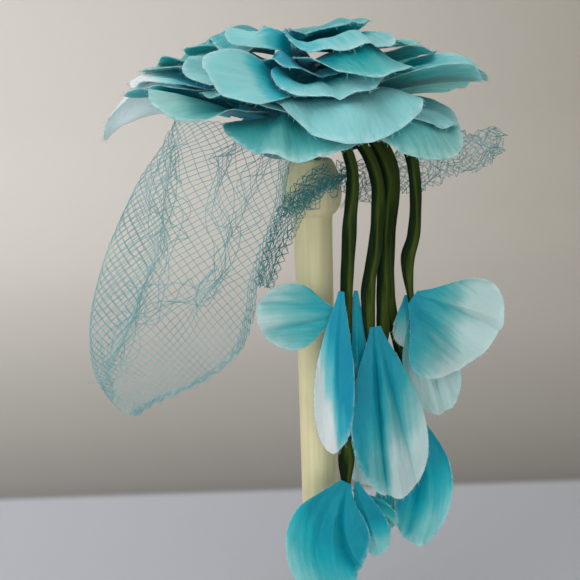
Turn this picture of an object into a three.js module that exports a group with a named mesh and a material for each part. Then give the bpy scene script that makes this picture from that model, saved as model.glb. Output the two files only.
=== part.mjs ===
// A flower fascinator on its display stand: a large flat rose of dyed satin petals on a padded base,
// covered wire stems that end in loose blossoms, and a folded net veil, on a turned wooden stand.
// Millimetres and degrees. +Z is up, -Y is the front, and the origin is the centre of the foot's underside.
import * as THREE from "three";

// Stand
const FOOT = { radius: 54, height: 12, edge: 3, base: 1, sides: 48 };
const POST = { radius: 10, top: 261, sides: 24 };
const KNOB = { radius: 15.5, neck: 11.5, top: 290.6, crown: 9 };

// Clearance between pieces that touch
const GAP = 0.3;

// Padded base of the rose: a dome over a conical underside, heights above the knob's top
const ROSE = { x: -8, y: 0 };
const BASE = { z: KNOB.top + GAP, seat: 14, rim: 32, underside: 12, edge: 3, sides: 24 };
const BASE_DOME = [
  { radius: BASE.rim, height: BASE.underside + BASE.edge },
  { radius: 27, height: 20 },
  { radius: 20, height: 31 },
  { radius: 13, height: 44 },
  { radius: 7, height: 54 },
  { radius: 0, height: 58 },
];

// A petal's satin wall and its grid. fan is the half angle that its edge is drawn through, fullness how wide
// that makes it beside its length, blunt how round its tip is, and claw its root's share of its width.
const SATIN = 1.0;
const PETAL = {
  rows: 4,
  columns: 7,
  rowPower: 0.85,
  fan: 64,
  fanUsed: 0.96,
  fullness: 0.98,
  blunt: 0.5,
  claw: 0.24,
};

// How a petal's slope grows from claw to tip, and how many ruffles its edge has
const SLOPE = { steps: 40, bendPower: 1.4, lipPower: 6 };
const RUFFLES = { count: 1.17, power: 3, shift: 1.7 };

// The rose's petals from the lowest up. azimuth: 0 right, 90 back, 180 left, 270 front. seat is the claw's
// distance from the rose's axis. lift is the slope at the claw, bend what it gains by the tip, and lip what
// the last fifth gains beside that. cup, twist and side bend it across, round and sideways, and wave is the
// ruffle's height. turn is the heading beside the azimuth, and roll the claw's slope from side to side.
const PETAL_COLUMNS = [
  "azimuth", "seat", "length", "width", "lift", "bend", "cup", "twist", "lip", "side", "wave", "turn", "roll",
];
const ROSE_PETALS = [
  // front skirt
  [273, 27, 61, 62, -1, -34, 6, 2, -8, 0, 1],
  [313, 27, 70, 62, 2, -50, 6, 8, -10, 0, 1],
  [226, 27, 60, 48, 18, -28, 8, -20, 0, 0, 1.5],
  [252, 24, 48, 50, -8, -30, 6, -8, 0, 0, 1],
  [327, 24, 66, 48, 2, -42, 6, 0, -6, 0, 1],
  [294, 24, 73, 58, -3, -50, 6, 0, -6, 0, 1],
  // lowest ring at the sides and the back
  [342, 27, 68, 48, 14, -10, 8, -10, -10, 0, 2],
  [196, 27, 60, 36, 12, -6, 46, 0, 16, 0, 1],
  [179, 28, 76, 13, 10, -24, 14, 0, -60, -10, 1],
  [14, 27, 72, 50, 12, -4, 8, -6, -20, 4, 2],
  [132, 27, 70, 58, 8, -10, 8, 0, -12, 0, 1.5],
  [52, 27, 70, 58, 12, -8, 8, 0, 8, 0, 1.5],
  [92, 27, 70, 62, 10, -10, 10, 0, -10, 0, 1.5],
  // second ring
  [355, 21, 80, 36, 10, -8, 12, 0, -90, 0, 1.5],
  [186, 21, 62, 44, 10, -18, 14, 0, -6, 0, 1.5],
  [162, 21, 62, 54, 24, -42, 12, 0, 8, 0, 1.5],
  [112, 21, 64, 58, 12, -14, 10, 0, -10, 0, 1.5],
  [66, 21, 64, 58, 12, -14, 10, 0, -10, 0, 1.5],
  // petals that lean on the left of the pile
  [240, 30, 42, 36, 20, -8, 8, -14, 0, 0, 1, -34, -24],
  [270, 47, 46, 34, 16, -8, 10, -20, 0, 0, 1, -62, -28],
  // third ring at the front
  [287, 26, 56, 46, -24, -10, 16, 4, 20, 0, 1.5],
  [286, 18, 40, 44, -14, -8, 8, 0, 10, 0, 1.5],
  [304, 22, 54, 50, -5, -6, 6, 0, 4, 0, 1],
  // third ring at the sides and the back
  [24, 15, 66, 50, 8, -12, 8, 0, -10, 0, 1.5],
  [80, 15, 54, 52, 10, -14, 10, 0, -10, 0, 1.5],
  [152, 15, 60, 56, 14, -44, 10, 0, -10, 0, 1.5],
  // fourth ring at the sides and the back
  [0, 9, 54, 44, 4, -12, 8, 0, 0, 0, 1],
  [50, 9, 44, 44, 8, -12, 10, 0, -10, 0, 1],
  [105, 9, 44, 44, 8, -12, 10, 0, -10, 0, 1],
  [168, 9, 48, 42, 4, -40, 10, 0, -10, 0, 1],
  [210, 5, 40, 40, 0, -40, 12, 0, 0, 0, 1],
  // crown
  [268, 27, 35, 15, 22, 2, 12, -6, 0, 0, 1, -70, -34],
  [308, 9, 54, 46, -8, -14, 8, 4, 0, 0, 1],
  [318, 4, 40, 36, -8, -20, 10, 0, 0, 0, 1],
  [20, 4, 30, 32, 6, -16, 12, 0, 0, 0, 1],
  [80, 4, 28, 32, 8, -16, 12, 0, 0, 0, 1],
];

// Petals seated farther out than these distances take the paler dyes
const DYE_RINGS = { pale: 20, aqua: 8 };

// Covered wire stems, from the underside of the base down. bulge is where a stem thickens, as a share.
const STEM = { width: 7, depth: 2.8, sides: 8, steps: 14, swelling: 0.5, swellingReach: 0.04 };
const STEMS = [
  {
    path: [[0.5, -26.5, 296.6], [13, -31, 300.5], [18.5, -32, 289], [17, -32, 258], [15, -29.5, 223],
      [14.5, -31, 179], [13, -29, 120]],
    bulge: 0.9,
  },
  {
    path: [[8, -23, 296.7], [21, -29, 301], [30.5, -30, 283], [30, -30, 252], [26, -30, 227], [27, -29, 196]],
  },
  {
    path: [[14, -18, 296.9], [27, -23, 301.5], [37, -24, 283], [35, -24, 250], [34, -24, 225], [34, -24, 194]],
  },
  {
    path: [[18, -11.5, 296.9], [31.5, -17.5, 300.5], [40, -18, 286], [38, -18, 250], [38, -17, 219],
      [45, -14, 185], [52, -12, 154]],
  },
  {
    path: [[20.5, -4.5, 297.1], [38, -14.5, 302], [46, -26, 297.5], [49.5, -28.5, 282],
      [49, -28.5, 254], [46, -28, 241], [49, -28, 210]],
  },
];

// Loose blossoms at the stems' ends, each petal with its claw's place and its heading, which is 0 to the right
// and 270 towards the front. fan is the half angle that a petal opens to.
const BLOSSOM = { blunt: 0.25, wave: 1 };
const BLOSSOM_COLUMNS = [
  "heading", "lift", "bend", "roll", "length", "width", "cup", "twist", "side", "fan",
];
const BLOSSOMS = {
  a: [
    { claw: [10.8, -29.4, 214], shape: [180, 2, -8, -88, 41, 29, 6, 0, 0, 50] },
    { claw: [12.4, -32.5, 227], shape: [180, -83, -9, -90, 86, 18, 26, 0, 0, 34] },
    { claw: [20, -27.3, 226], shape: [270, -90, 0, 0, 64, 12, -4, 0, 0, 34] },
  ],
  b: [
    { claw: [48, -30.2, 222], shape: [0, -36, -10, 84, 46, 50, 10, 0, -8, 48] },
    { claw: [50, -25.4, 219], shape: [0, -78, 4, 90, 62, 24, 10, 0, 0, 36] },
    { claw: [46, -23.5, 222], shape: [270, -90, 0, 0, 28, 12, 0, 0, 0, 40] },
  ],
  c: [
    { claw: [13, -31.4, 124], shape: [0, -118, 66, 88, 68, 38, 14, 0, 0, 58] },
    { claw: [18.5, -27.7, 122], shape: [0, -74, 0, 90, 44, 16, 8, 0, 0, 34] },
    { claw: [17, -25.6, 117], shape: [0, -42, 4, 90, 30, 9, 0, 0, 0, 34] },
  ],
  d: [
    { claw: [26.6, -22.0, 206], shape: [0, -93, 2, 90, 88, 24, -20, 0, 0, 36] },
    { claw: [29.2, -31.4, 208], shape: [0, -84, 2, 90, 94, 33, 16, 0, 0, 38] },
  ],
  e: [
    { claw: [50, -14.4, 156], shape: [0, -76, -36, 90, 79, 27, 16, 0, 0, 46] },
    { claw: [49, -9.6, 156], shape: [0, -98, -6, 88, 72, 18, 10, 0, 0, 36] },
  ],
};

// The net: a folded sheet that hangs from under the rose, open to the right. A row gives the height at the
// fold, how far the two edges hang below it, the fold's and the edges' places from side to side, and the
// fold's half depth.
const NET = { wall: 1.2, middle: -6, columns: 12, spread: 1.5, round: 0.5 };
const PLEAT = { height: 0.9, count: 2.5, drift: 0.5 };
const NET_ROWS = [
  { height: 301, sag: 6, fold: -73, front: -9, back: -48, depth: 15 },
  { height: 284, sag: 2, fold: -88, front: -12, back: -54, depth: 16 },
  { height: 266, sag: 1, fold: -98, front: -15.5, back: -59, depth: 17 },
  { height: 248, sag: 0, fold: -107, front: -22.5, back: -59, depth: 17 },
  { height: 230, sag: 0, fold: -114, front: -28.5, back: -62, depth: 17 },
  { height: 212, sag: 0, fold: -119, front: -32, back: -88, depth: 16.5 },
  { height: 194, sag: 0, fold: -121, front: -40, back: -107, depth: 16 },
  { height: 180, sag: 2, fold: -120, front: -60, back: -113, depth: 14 },
  { height: 168, sag: 1, fold: -115, front: -84, back: -111, depth: 11 },
  { height: 158, sag: 0, fold: -106, front: -97, back: -104, depth: 7 },
];

// The bunched strand along the front edge of the net, from its free end up to the knob
const GATHER = { thin: 7, thick: 13, flat: 0.55, steps: 12 };
const GATHER_PATH = [[-26.5, -26, 229], [-19.5, -26.5, 248], [-11.5, -25.5, 265], [-5, -23, 275],
  [2, -20, 281], [9.5, -18, 283.5]];

// The short ruffled end of the net on the right: its top and bottom edges from the post outward
const RUFFLE = { y: -8, wave: 3.5, waves: 3.2, columns: 12, rows: 3 };
const RUFFLE_EDGES = [
  { x: 14.6, top: 286, bottom: 268 },
  { x: 35, top: 291, bottom: 271 },
  { x: 55, top: 294, bottom: 276 },
  { x: 77, top: 296, bottom: 283 },
  { x: 97, top: 295, bottom: 290 },
];

// Colours
const COLOURS = {
  cream: 0xe6dcb4,
  paleAqua: 0xbfe6e6,
  aqua: 0x6fc7d2,
  teal: 0x2f9fb4,
  stemGreen: 0x1f3a26,
  netTeal: 0x4f9fa8,
  padding: 0x2b6f7c,
};

const rad = THREE.MathUtils.degToRad;

function finish(colour, roughness) {
  return new THREE.MeshStandardMaterial({ color: colour, roughness, metalness: 0 });
}

const MATERIALS = {
  wood: finish(COLOURS.cream, 0.55),
  felt: finish(COLOURS.padding, 0.9),
  paleSatin: finish(COLOURS.paleAqua, 0.45),
  aquaSatin: finish(COLOURS.aqua, 0.45),
  tealSatin: finish(COLOURS.teal, 0.5),
  velvet: finish(COLOURS.stemGreen, 0.95),
  net: finish(COLOURS.netTeal, 0.8),
};

function piece(name, geometry, material) {
  const mesh = new THREE.Mesh(geometry, material);
  mesh.name = name;
  return mesh;
}

function turned(profile, sides) {
  const points = profile.map(([radius, height]) => new THREE.Vector2(radius, height));
  return new THREE.LatheGeometry(points, sides).rotateX(Math.PI / 2);
}

function meshOf(positions, faces) {
  const geometry = new THREE.BufferGeometry();
  geometry.setAttribute("position", new THREE.Float32BufferAttribute(positions, 3));
  geometry.setIndex(faces);
  return geometry;
}

// A closed wall between an upper and a lower grid of points, both rows by columns.
function wallOf(upper, lower) {
  const rows = upper.length;
  const columns = upper[0].length;
  const positions = [...upper.flat(), ...lower.flat()].flatMap((p) => [p.x, p.y, p.z]);
  const top = (i, j) => i * columns + j;
  const under = (i, j) => rows * columns + top(i, j);
  const faces = [];
  for (let i = 0; i + 1 < rows; i++) {
    for (let j = 0; j + 1 < columns; j++) {
      faces.push(top(i, j), top(i + 1, j), top(i + 1, j + 1));
      faces.push(top(i, j), top(i + 1, j + 1), top(i, j + 1));
      faces.push(under(i, j), under(i + 1, j + 1), under(i + 1, j));
      faces.push(under(i, j), under(i, j + 1), under(i + 1, j + 1));
    }
  }
  const rim = [];
  for (let j = 0; j + 1 < columns; j++) rim.push([0, j]);
  for (let i = 0; i + 1 < rows; i++) rim.push([i, columns - 1]);
  for (let j = columns - 1; j > 0; j--) rim.push([rows - 1, j]);
  for (let i = rows - 1; i > 0; i--) rim.push([i, 0]);
  rim.forEach(([i, j], k) => {
    const [m, n] = rim[(k + 1) % rim.length];
    faces.push(top(i, j), top(m, n), under(m, n));
    faces.push(top(i, j), under(m, n), under(i, j));
  });
  return meshOf(positions, faces);
}

// Unit normals at the points of a grid, from its neighbours.
function gridNormals(grid) {
  return grid.map((row, i) =>
    row.map((_, j) => {
      const before = grid[Math.max(i - 1, 0)][j];
      const after = grid[Math.min(i + 1, grid.length - 1)][j];
      const left = row[Math.max(j - 1, 0)];
      const right = row[Math.min(j + 1, row.length - 1)];
      return after.clone().sub(before).cross(right.clone().sub(left)).normalize();
    }),
  );
}

function shifted(grid, normals, distance) {
  return grid.map((row, i) => row.map((p, j) => p.clone().addScaledVector(normals[i][j], distance)));
}

function wallAround(grid, thickness) {
  const normals = gridNormals(grid);
  return wallOf(shifted(grid, normals, thickness / 2), shifted(grid, normals, -thickness / 2));
}

function petalPitch(p, share) {
  return rad(p.lift + p.bend * share ** SLOPE.bendPower + p.lip * share ** SLOPE.lipPower);
}

// The petal's centre line, with its pitch and heading at each step.
function petalSpine(p) {
  const centre = [new THREE.Vector3()];
  const slopes = [];
  for (let k = 0; k <= SLOPE.steps; k++) {
    const pitch = petalPitch(p, k / SLOPE.steps);
    const heading = rad(p.side * (k / SLOPE.steps));
    const along = new THREE.Vector3(
      Math.cos(pitch) * Math.cos(heading),
      Math.cos(pitch) * Math.sin(heading),
      Math.sin(pitch),
    );
    slopes.push({ pitch, heading });
    centre.push(centre[k].clone().addScaledVector(along, p.length / SLOPE.steps));
  }
  return { centre, slopes };
}

// The directions across a petal and out of its upper face, where it is rolled by turn.
function petalFrame({ pitch, heading }, turn) {
  const flatAcross = new THREE.Vector3(-Math.sin(heading), Math.cos(heading), 0);
  const flatNormal = new THREE.Vector3(
    -Math.sin(pitch) * Math.cos(heading),
    -Math.sin(pitch) * Math.sin(heading),
    Math.cos(pitch),
  );
  return {
    across: flatAcross.clone().multiplyScalar(Math.cos(turn)).addScaledVector(flatNormal, Math.sin(turn)),
    normal: flatNormal.multiplyScalar(Math.cos(turn)).addScaledVector(flatAcross, -Math.sin(turn)),
  };
}

// How wide a fan is beside its length, from the half angle that its edge runs through.
function fullness(fan, blunt) {
  const half = Array.from({ length: 90 }, (_, n) => {
    const share = n / 90;
    return Math.cos((share * Math.PI) / 2) ** blunt * Math.sin(share * rad(fan));
  });
  return 2 * Math.max(...half);
}

// The middle surface of a petal that lies along +X from its claw, its width along Y, its upper face up.
function petalSurface(p) {
  const { centre, slopes } = petalSpine(p);
  const fan = rad(p.fan);
  const curve = (2 * rad(p.cup)) / p.width;
  const widen = p.width / (p.length * p.fullness);
  const grid = [];
  for (let i = 0; i <= PETAL.rows; i++) {
    const t = (i / PETAL.rows) ** PETAL.rowPower;
    const row = [];
    for (let j = 0; j <= PETAL.columns; j++) {
      const s = (2 * j) / PETAL.columns - 1;
      const angle = PETAL.fanUsed * s * fan;
      const reach = p.length * Math.cos((angle * Math.PI) / (2 * fan)) ** p.blunt;
      const u = reach * t * Math.cos(angle);
      const v = reach * t * Math.sin(angle) * widen + (p.width * PETAL.claw * s) / 2;
      const step = Math.min((u / p.length) * SLOPE.steps, SLOPE.steps - 1e-6);
      const k = Math.floor(step);
      const { across, normal } = petalFrame(slopes[k], rad(p.roll + (p.twist * u) / p.length));
      const flat = Math.abs(curve * v) < 1e-4;
      const sideways = flat ? v : Math.sin(curve * v) / curve;
      const raised = flat ? 0 : (1 - Math.cos(curve * v)) / curve;
      const ruffle = p.wave * t ** RUFFLES.power * Math.sin(2 * Math.PI * RUFFLES.count * s + p.phase);
      const point = centre[k].clone().lerp(centre[k + 1], step - k);
      row.push(point.addScaledVector(across, sideways).addScaledVector(normal, raised + ruffle));
    }
    grid.push(row);
  }
  return grid;
}

// The height of what has been laid so far, on a square grid of cells over the rose.
const CELL = 1.0;
const CELLS = 260;
const laid = new Float32Array(CELLS * CELLS).fill(-Infinity);

// How petals settle: the share of a raise that a point's neighbours follow, and when it is clear
const SETTLE = { spread: 0.5, rounds: 24, clear: 0.02 };

function cellAt(x, y) {
  const i = Math.floor(x / CELL) + CELLS / 2;
  const j = Math.floor(y / CELL) + CELLS / 2;
  return i * CELLS + j;
}

// Calls visit(x, y, z, corners, weights) at points under one cell apart on one facet.
function sampleFacet(grid, corners, visit) {
  const [a, b, c] = corners.map(([m, n]) => grid[m][n]);
  const longest = Math.max(a.distanceTo(b), b.distanceTo(c), c.distanceTo(a));
  const steps = Math.max(1, Math.ceil(longest / (CELL * 0.7)));
  for (let m = 0; m <= steps; m++) {
    for (let n = 0; m + n <= steps; n++) {
      const weights = [1 - (m + n) / steps, m / steps, n / steps];
      const x = a.x * weights[0] + b.x * weights[1] + c.x * weights[2];
      const y = a.y * weights[0] + b.y * weights[1] + c.y * weights[2];
      const z = a.z * weights[0] + b.z * weights[1] + c.z * weights[2];
      visit(x, y, z, corners, weights);
    }
  }
}

function sampleGrid(grid, visit) {
  for (let i = 0; i + 1 < grid.length; i++) {
    for (let j = 0; j + 1 < grid[0].length; j++) {
      sampleFacet(grid, [[i, j], [i + 1, j], [i + 1, j + 1]], visit);
      sampleFacet(grid, [[i, j], [i + 1, j + 1], [i, j + 1]], visit);
    }
  }
}

// What raises one point takes its neighbours along by a share.
function spread(raise) {
  const before = raise.map((row) => [...row]);
  raise.forEach((row, i) => {
    row.forEach((own, j) => {
      const around = [before[i - 1]?.[j], before[i + 1]?.[j], before[i][j - 1], before[i][j + 1]];
      row[j] = Math.max(own, ...around.map((value) => (value ?? 0) * SETTLE.spread));
    });
  });
}

// Lays a petal on those under it: its claw is lowered until it rests, each facet is raised clear, and the whole
// comes down until it rests again.
function settle(grid) {
  const half = SATIN / 2;
  let drop = -Infinity;
  sampleGrid([grid[0], grid[0]], (x, y, z) => {
    drop = Math.max(drop, laid[cellAt(x, y)] + GAP + half - z);
  });
  grid.flat().forEach((p) => (p.z += drop));
  for (let round = 0; round < SETTLE.rounds; round++) {
    const under = shifted(grid, gridNormals(grid), -half);
    const raise = grid.map((row) => row.map(() => 0));
    sampleGrid(under, (x, y, z, corners, weights) => {
      const short = laid[cellAt(x, y)] + GAP - z;
      if (short <= 0) return;
      const total = weights.reduce((sum, w) => sum + w * w, 0);
      corners.forEach(([m, n], k) => {
        raise[m][n] = Math.max(raise[m][n], (short * weights[k]) / total);
      });
    });
    if (Math.max(...raise.flat()) < SETTLE.clear) break;
    spread(raise);
    grid.forEach((row, i) => row.forEach((p, j) => (p.z += raise[i][j])));
  }
  let clearance = Infinity;
  sampleGrid(shifted(grid, gridNormals(grid), -half), (x, y, z) => {
    clearance = Math.min(clearance, z - laid[cellAt(x, y)]);
  });
  grid.flat().forEach((p) => (p.z -= clearance - GAP));
}

function lay(grid) {
  const over = shifted(grid, gridNormals(grid), SATIN / 2);
  sampleGrid(over, (x, y, z) => {
    const cell = cellAt(x, y);
    laid[cell] = Math.max(laid[cell], z);
  });
}

function roseBase() {
  const underside = [[0, 0], [BASE.seat, 0], [BASE.rim, BASE.underside]];
  const dome = BASE_DOME.map(({ radius, height }) => [radius, height]);
  return piece("flower_base", turned([...underside, ...dome], BASE.sides), MATERIALS.felt);
}

function layBase() {
  for (let x = -BASE.rim; x <= BASE.rim; x += CELL / 2) {
    for (let y = -BASE.rim; y <= BASE.rim; y += CELL / 2) {
      const radius = Math.hypot(x, y);
      if (radius > BASE.rim) continue;
      const k = BASE_DOME.findIndex((ring, n) => n > 0 && radius >= ring.radius);
      const [outer, inner] = [BASE_DOME[k - 1], BASE_DOME[k]];
      const share = (outer.radius - radius) / (outer.radius - inner.radius);
      const cell = cellAt(x, y);
      laid[cell] = Math.max(laid[cell], outer.height + share * (inner.height - outer.height));
    }
  }
}

function dyeOf(seat) {
  if (seat > DYE_RINGS.pale) return MATERIALS.paleSatin;
  return seat > DYE_RINGS.aqua ? MATERIALS.aquaSatin : MATERIALS.tealSatin;
}

function rosePetal(values, index) {
  const { fan, fullness, blunt } = PETAL;
  const petal = { turn: 0, roll: 0, phase: index * RUFFLES.shift, fan, fullness, blunt };
  values.forEach((value, k) => (petal[PETAL_COLUMNS[k]] = value));
  const azimuth = rad(petal.azimuth);
  const heading = rad(petal.azimuth + petal.turn);
  const claw = new THREE.Vector3(petal.seat * Math.cos(azimuth), petal.seat * Math.sin(azimuth), 0);
  const place = new THREE.Matrix4().makeRotationZ(heading).setPosition(claw);
  const grid = petalSurface(petal).map((row) => row.map((p) => p.applyMatrix4(place)));
  settle(grid);
  lay(grid);
  claw.z = grid[0][0].z;
  const back = new THREE.Matrix4().makeRotationZ(heading).setPosition(claw).invert();
  const own = grid.map((row) => row.map((p) => p.applyMatrix4(back)));
  const name = "petal_" + String(index + 1).padStart(2, "0");
  const mesh = piece(name, wallAround(own, SATIN), dyeOf(petal.seat));
  mesh.position.copy(claw);
  mesh.rotation.z = heading;
  return mesh;
}

function rose() {
  const group = new THREE.Group();
  group.position.set(ROSE.x, ROSE.y, BASE.z);
  layBase();
  group.add(roseBase(), ...ROSE_PETALS.map(rosePetal));
  return group;
}

function stand() {
  const foot = [
    [0, 0],
    [FOOT.radius - FOOT.base, 0],
    [FOOT.radius, FOOT.base],
    [FOOT.radius, FOOT.height - FOOT.edge],
    [FOOT.radius - FOOT.edge, FOOT.height],
    [0, FOOT.height],
  ];
  const post = [
    [0, FOOT.height + GAP],
    [POST.radius, FOOT.height + GAP],
    [POST.radius, POST.top],
    [KNOB.neck, POST.top + 0.5],
    [KNOB.radius - 1.2, POST.top + 4],
    [KNOB.radius, POST.top + 9],
    [KNOB.radius, POST.top + 17],
    [KNOB.radius - 1.8, POST.top + 23],
    [KNOB.crown + 2, KNOB.top - 1],
    [KNOB.crown, KNOB.top],
    [0, KNOB.top],
  ];
  const group = new THREE.Group();
  group.add(piece("stand_foot", turned(foot, FOOT.sides), MATERIALS.wood));
  group.add(piece("stand_post", turned(post, POST.sides), MATERIALS.wood));
  return group;
}

// A closed tube of oval section along a smooth curve: width lies square to the front, depth along it.
function ovalTube(points, width, depth, steps) {
  const curve = new THREE.CatmullRomCurve3(points.map((p) => new THREE.Vector3(...p)));
  const sides = STEM.sides;
  const front = new THREE.Vector3(0, 1, 0);
  const positions = [];
  for (let k = 0; k <= steps; k++) {
    const share = k / steps;
    const centre = curve.getPointAt(share);
    const along = curve.getTangentAt(share);
    const across = along.clone().cross(front).normalize();
    const out = across.clone().cross(along).normalize();
    for (let n = 0; n < sides; n++) {
      const angle = (2 * Math.PI * n) / sides;
      const corner = centre
        .clone()
        .addScaledVector(across, (width(share) / 2) * Math.cos(angle))
        .addScaledVector(out, (depth(share) / 2) * Math.sin(angle));
      positions.push(corner.x, corner.y, corner.z);
    }
  }
  const faces = [];
  for (let k = 0; k < steps; k++) {
    for (let n = 0; n < sides; n++) {
      const next = (n + 1) % sides;
      const [a, b] = [k * sides + n, k * sides + next];
      faces.push(a, b + sides, b, a, a + sides, b + sides);
    }
  }
  for (let n = 1; n + 1 < sides; n++) {
    faces.push(0, n, n + 1);
    faces.push(steps * sides, steps * sides + n + 1, steps * sides + n);
  }
  return meshOf(positions, faces);
}

function stems() {
  const group = new THREE.Group();
  STEMS.forEach(({ path, bulge }, k) => {
    const swell = (share) =>
      bulge ? 1 + STEM.swelling * Math.exp(-(((share - bulge) / STEM.swellingReach) ** 2)) : 1;
    const width = (share) => STEM.width * swell(share);
    const depth = (share) => STEM.depth * swell(share);
    group.add(piece("stem_" + (k + 1), ovalTube(path, width, depth, STEM.steps), MATERIALS.velvet));
  });
  return group;
}

function blossoms() {
  const group = new THREE.Group();
  for (const [blossom, petals] of Object.entries(BLOSSOMS)) {
    petals.forEach(({ claw, shape }, k) => {
      const petal = { lip: 0, wave: BLOSSOM.wave, blunt: BLOSSOM.blunt, phase: k };
      shape.forEach((value, n) => (petal[BLOSSOM_COLUMNS[n]] = value));
      petal.fullness = fullness(petal.fan, petal.blunt);
      const name = "blossom_" + blossom + "_petal_" + (k + 1);
      const mesh = piece(name, wallAround(petalSurface(petal), SATIN), MATERIALS.aquaSatin);
      mesh.position.set(...claw);
      mesh.rotation.z = rad(petal.heading);
      group.add(mesh);
    });
  }
  return group;
}

function netFold() {
  const grid = NET_ROWS.map((row, i) => {
    const points = [];
    for (let j = 0; j <= NET.columns; j++) {
      const angle = (Math.PI * j) / NET.columns;
      const facing = Math.cos(angle);
      const edge = facing > 0 ? row.front : row.back;
      const spreading = Math.abs(facing) ** NET.spread;
      const depth = row.depth * Math.sign(facing) * Math.abs(facing) ** NET.round;
      const calm = Math.min(1, i / 2) * Math.sin(angle);
      const pleat = PLEAT.height * calm * Math.sin(2 * PLEAT.count * angle + i * PLEAT.drift);
      const x = row.fold + (edge - row.fold) * spreading;
      points.push(new THREE.Vector3(x, NET.middle - depth + pleat, row.height - row.sag * spreading));
    }
    return points;
  });
  return piece("veil", wallAround(grid, NET.wall), MATERIALS.net);
}

function netGather() {
  const width = (share) => GATHER.thin + (GATHER.thick - GATHER.thin) * share;
  const depth = (share) => GATHER.flat * width(share);
  return piece("veil_gather", ovalTube(GATHER_PATH, width, depth, GATHER.steps), MATERIALS.net);
}

// The value of a table's column at a share of the way through its rows.
function columnAt(rows, column, share) {
  const place = share * (rows.length - 1);
  const k = Math.min(Math.floor(place), rows.length - 2);
  return THREE.MathUtils.lerp(rows[k][column], rows[k + 1][column], place - k);
}

function netRuffle() {
  const grid = [];
  for (let i = 0; i <= RUFFLE.rows; i++) {
    const row = [];
    for (let j = 0; j <= RUFFLE.columns; j++) {
      const share = j / RUFFLE.columns;
      const top = columnAt(RUFFLE_EDGES, "top", share);
      const bottom = columnAt(RUFFLE_EDGES, "bottom", share);
      const y = RUFFLE.y + RUFFLE.wave * share * Math.sin(2 * Math.PI * RUFFLE.waves * share);
      const z = THREE.MathUtils.lerp(top, bottom, i / RUFFLE.rows);
      row.push(new THREE.Vector3(columnAt(RUFFLE_EDGES, "x", share), y, z));
    }
    grid.push(row);
  }
  return piece("veil_right", wallAround(grid, NET.wall), MATERIALS.net);
}

function veil() {
  const group = new THREE.Group();
  group.add(netFold(), netGather(), netRuffle());
  return group;
}

const fascinator = new THREE.Group();
fascinator.add(stand(), rose(), stems(), blossoms(), veil());

export default fascinator;
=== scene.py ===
import math

import bpy
import numpy as np
from mathutils import Euler, Matrix, Vector, noise


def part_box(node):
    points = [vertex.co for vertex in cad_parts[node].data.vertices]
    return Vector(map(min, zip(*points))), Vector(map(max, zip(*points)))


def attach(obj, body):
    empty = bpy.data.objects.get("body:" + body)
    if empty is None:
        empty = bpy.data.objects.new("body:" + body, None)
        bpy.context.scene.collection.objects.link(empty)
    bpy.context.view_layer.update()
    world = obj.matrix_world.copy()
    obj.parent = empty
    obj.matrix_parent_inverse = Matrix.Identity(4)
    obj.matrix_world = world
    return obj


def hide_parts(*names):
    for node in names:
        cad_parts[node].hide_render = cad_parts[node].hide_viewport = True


bl_info = {
    "name": "Flower Fascinator",
    "version": (1, 0, 0),
    "blender": (4, 5, 0),
    "location": "View3D > Sidebar > Fascinator",
    "description": "Dresses a satin flower fascinator on its display stand: petals, stems, blossoms and net",
    "category": "Object",
}

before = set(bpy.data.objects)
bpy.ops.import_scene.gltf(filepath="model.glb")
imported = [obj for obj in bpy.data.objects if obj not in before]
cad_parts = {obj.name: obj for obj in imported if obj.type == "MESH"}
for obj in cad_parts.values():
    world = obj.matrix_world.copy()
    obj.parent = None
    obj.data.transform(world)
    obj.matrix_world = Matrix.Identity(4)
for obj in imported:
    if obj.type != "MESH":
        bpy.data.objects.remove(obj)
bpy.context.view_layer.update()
FOOT_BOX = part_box("stand_foot")
POST_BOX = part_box("stand_post")
BASE_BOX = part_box("flower_base")

MM = 0.001
ROSE_X = -8.0
BASE_Z = 290.9
GAP = 0.3
ROUGH_WALL = 1.0

# The base's dome: radius and height above its seat, from the rim to the top
DOME = ((32.0, 15.0), (27.0, 20.0), (20.0, 31.0), (13.0, 44.0), (7.0, 54.0), (0.0, 58.0))

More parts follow.
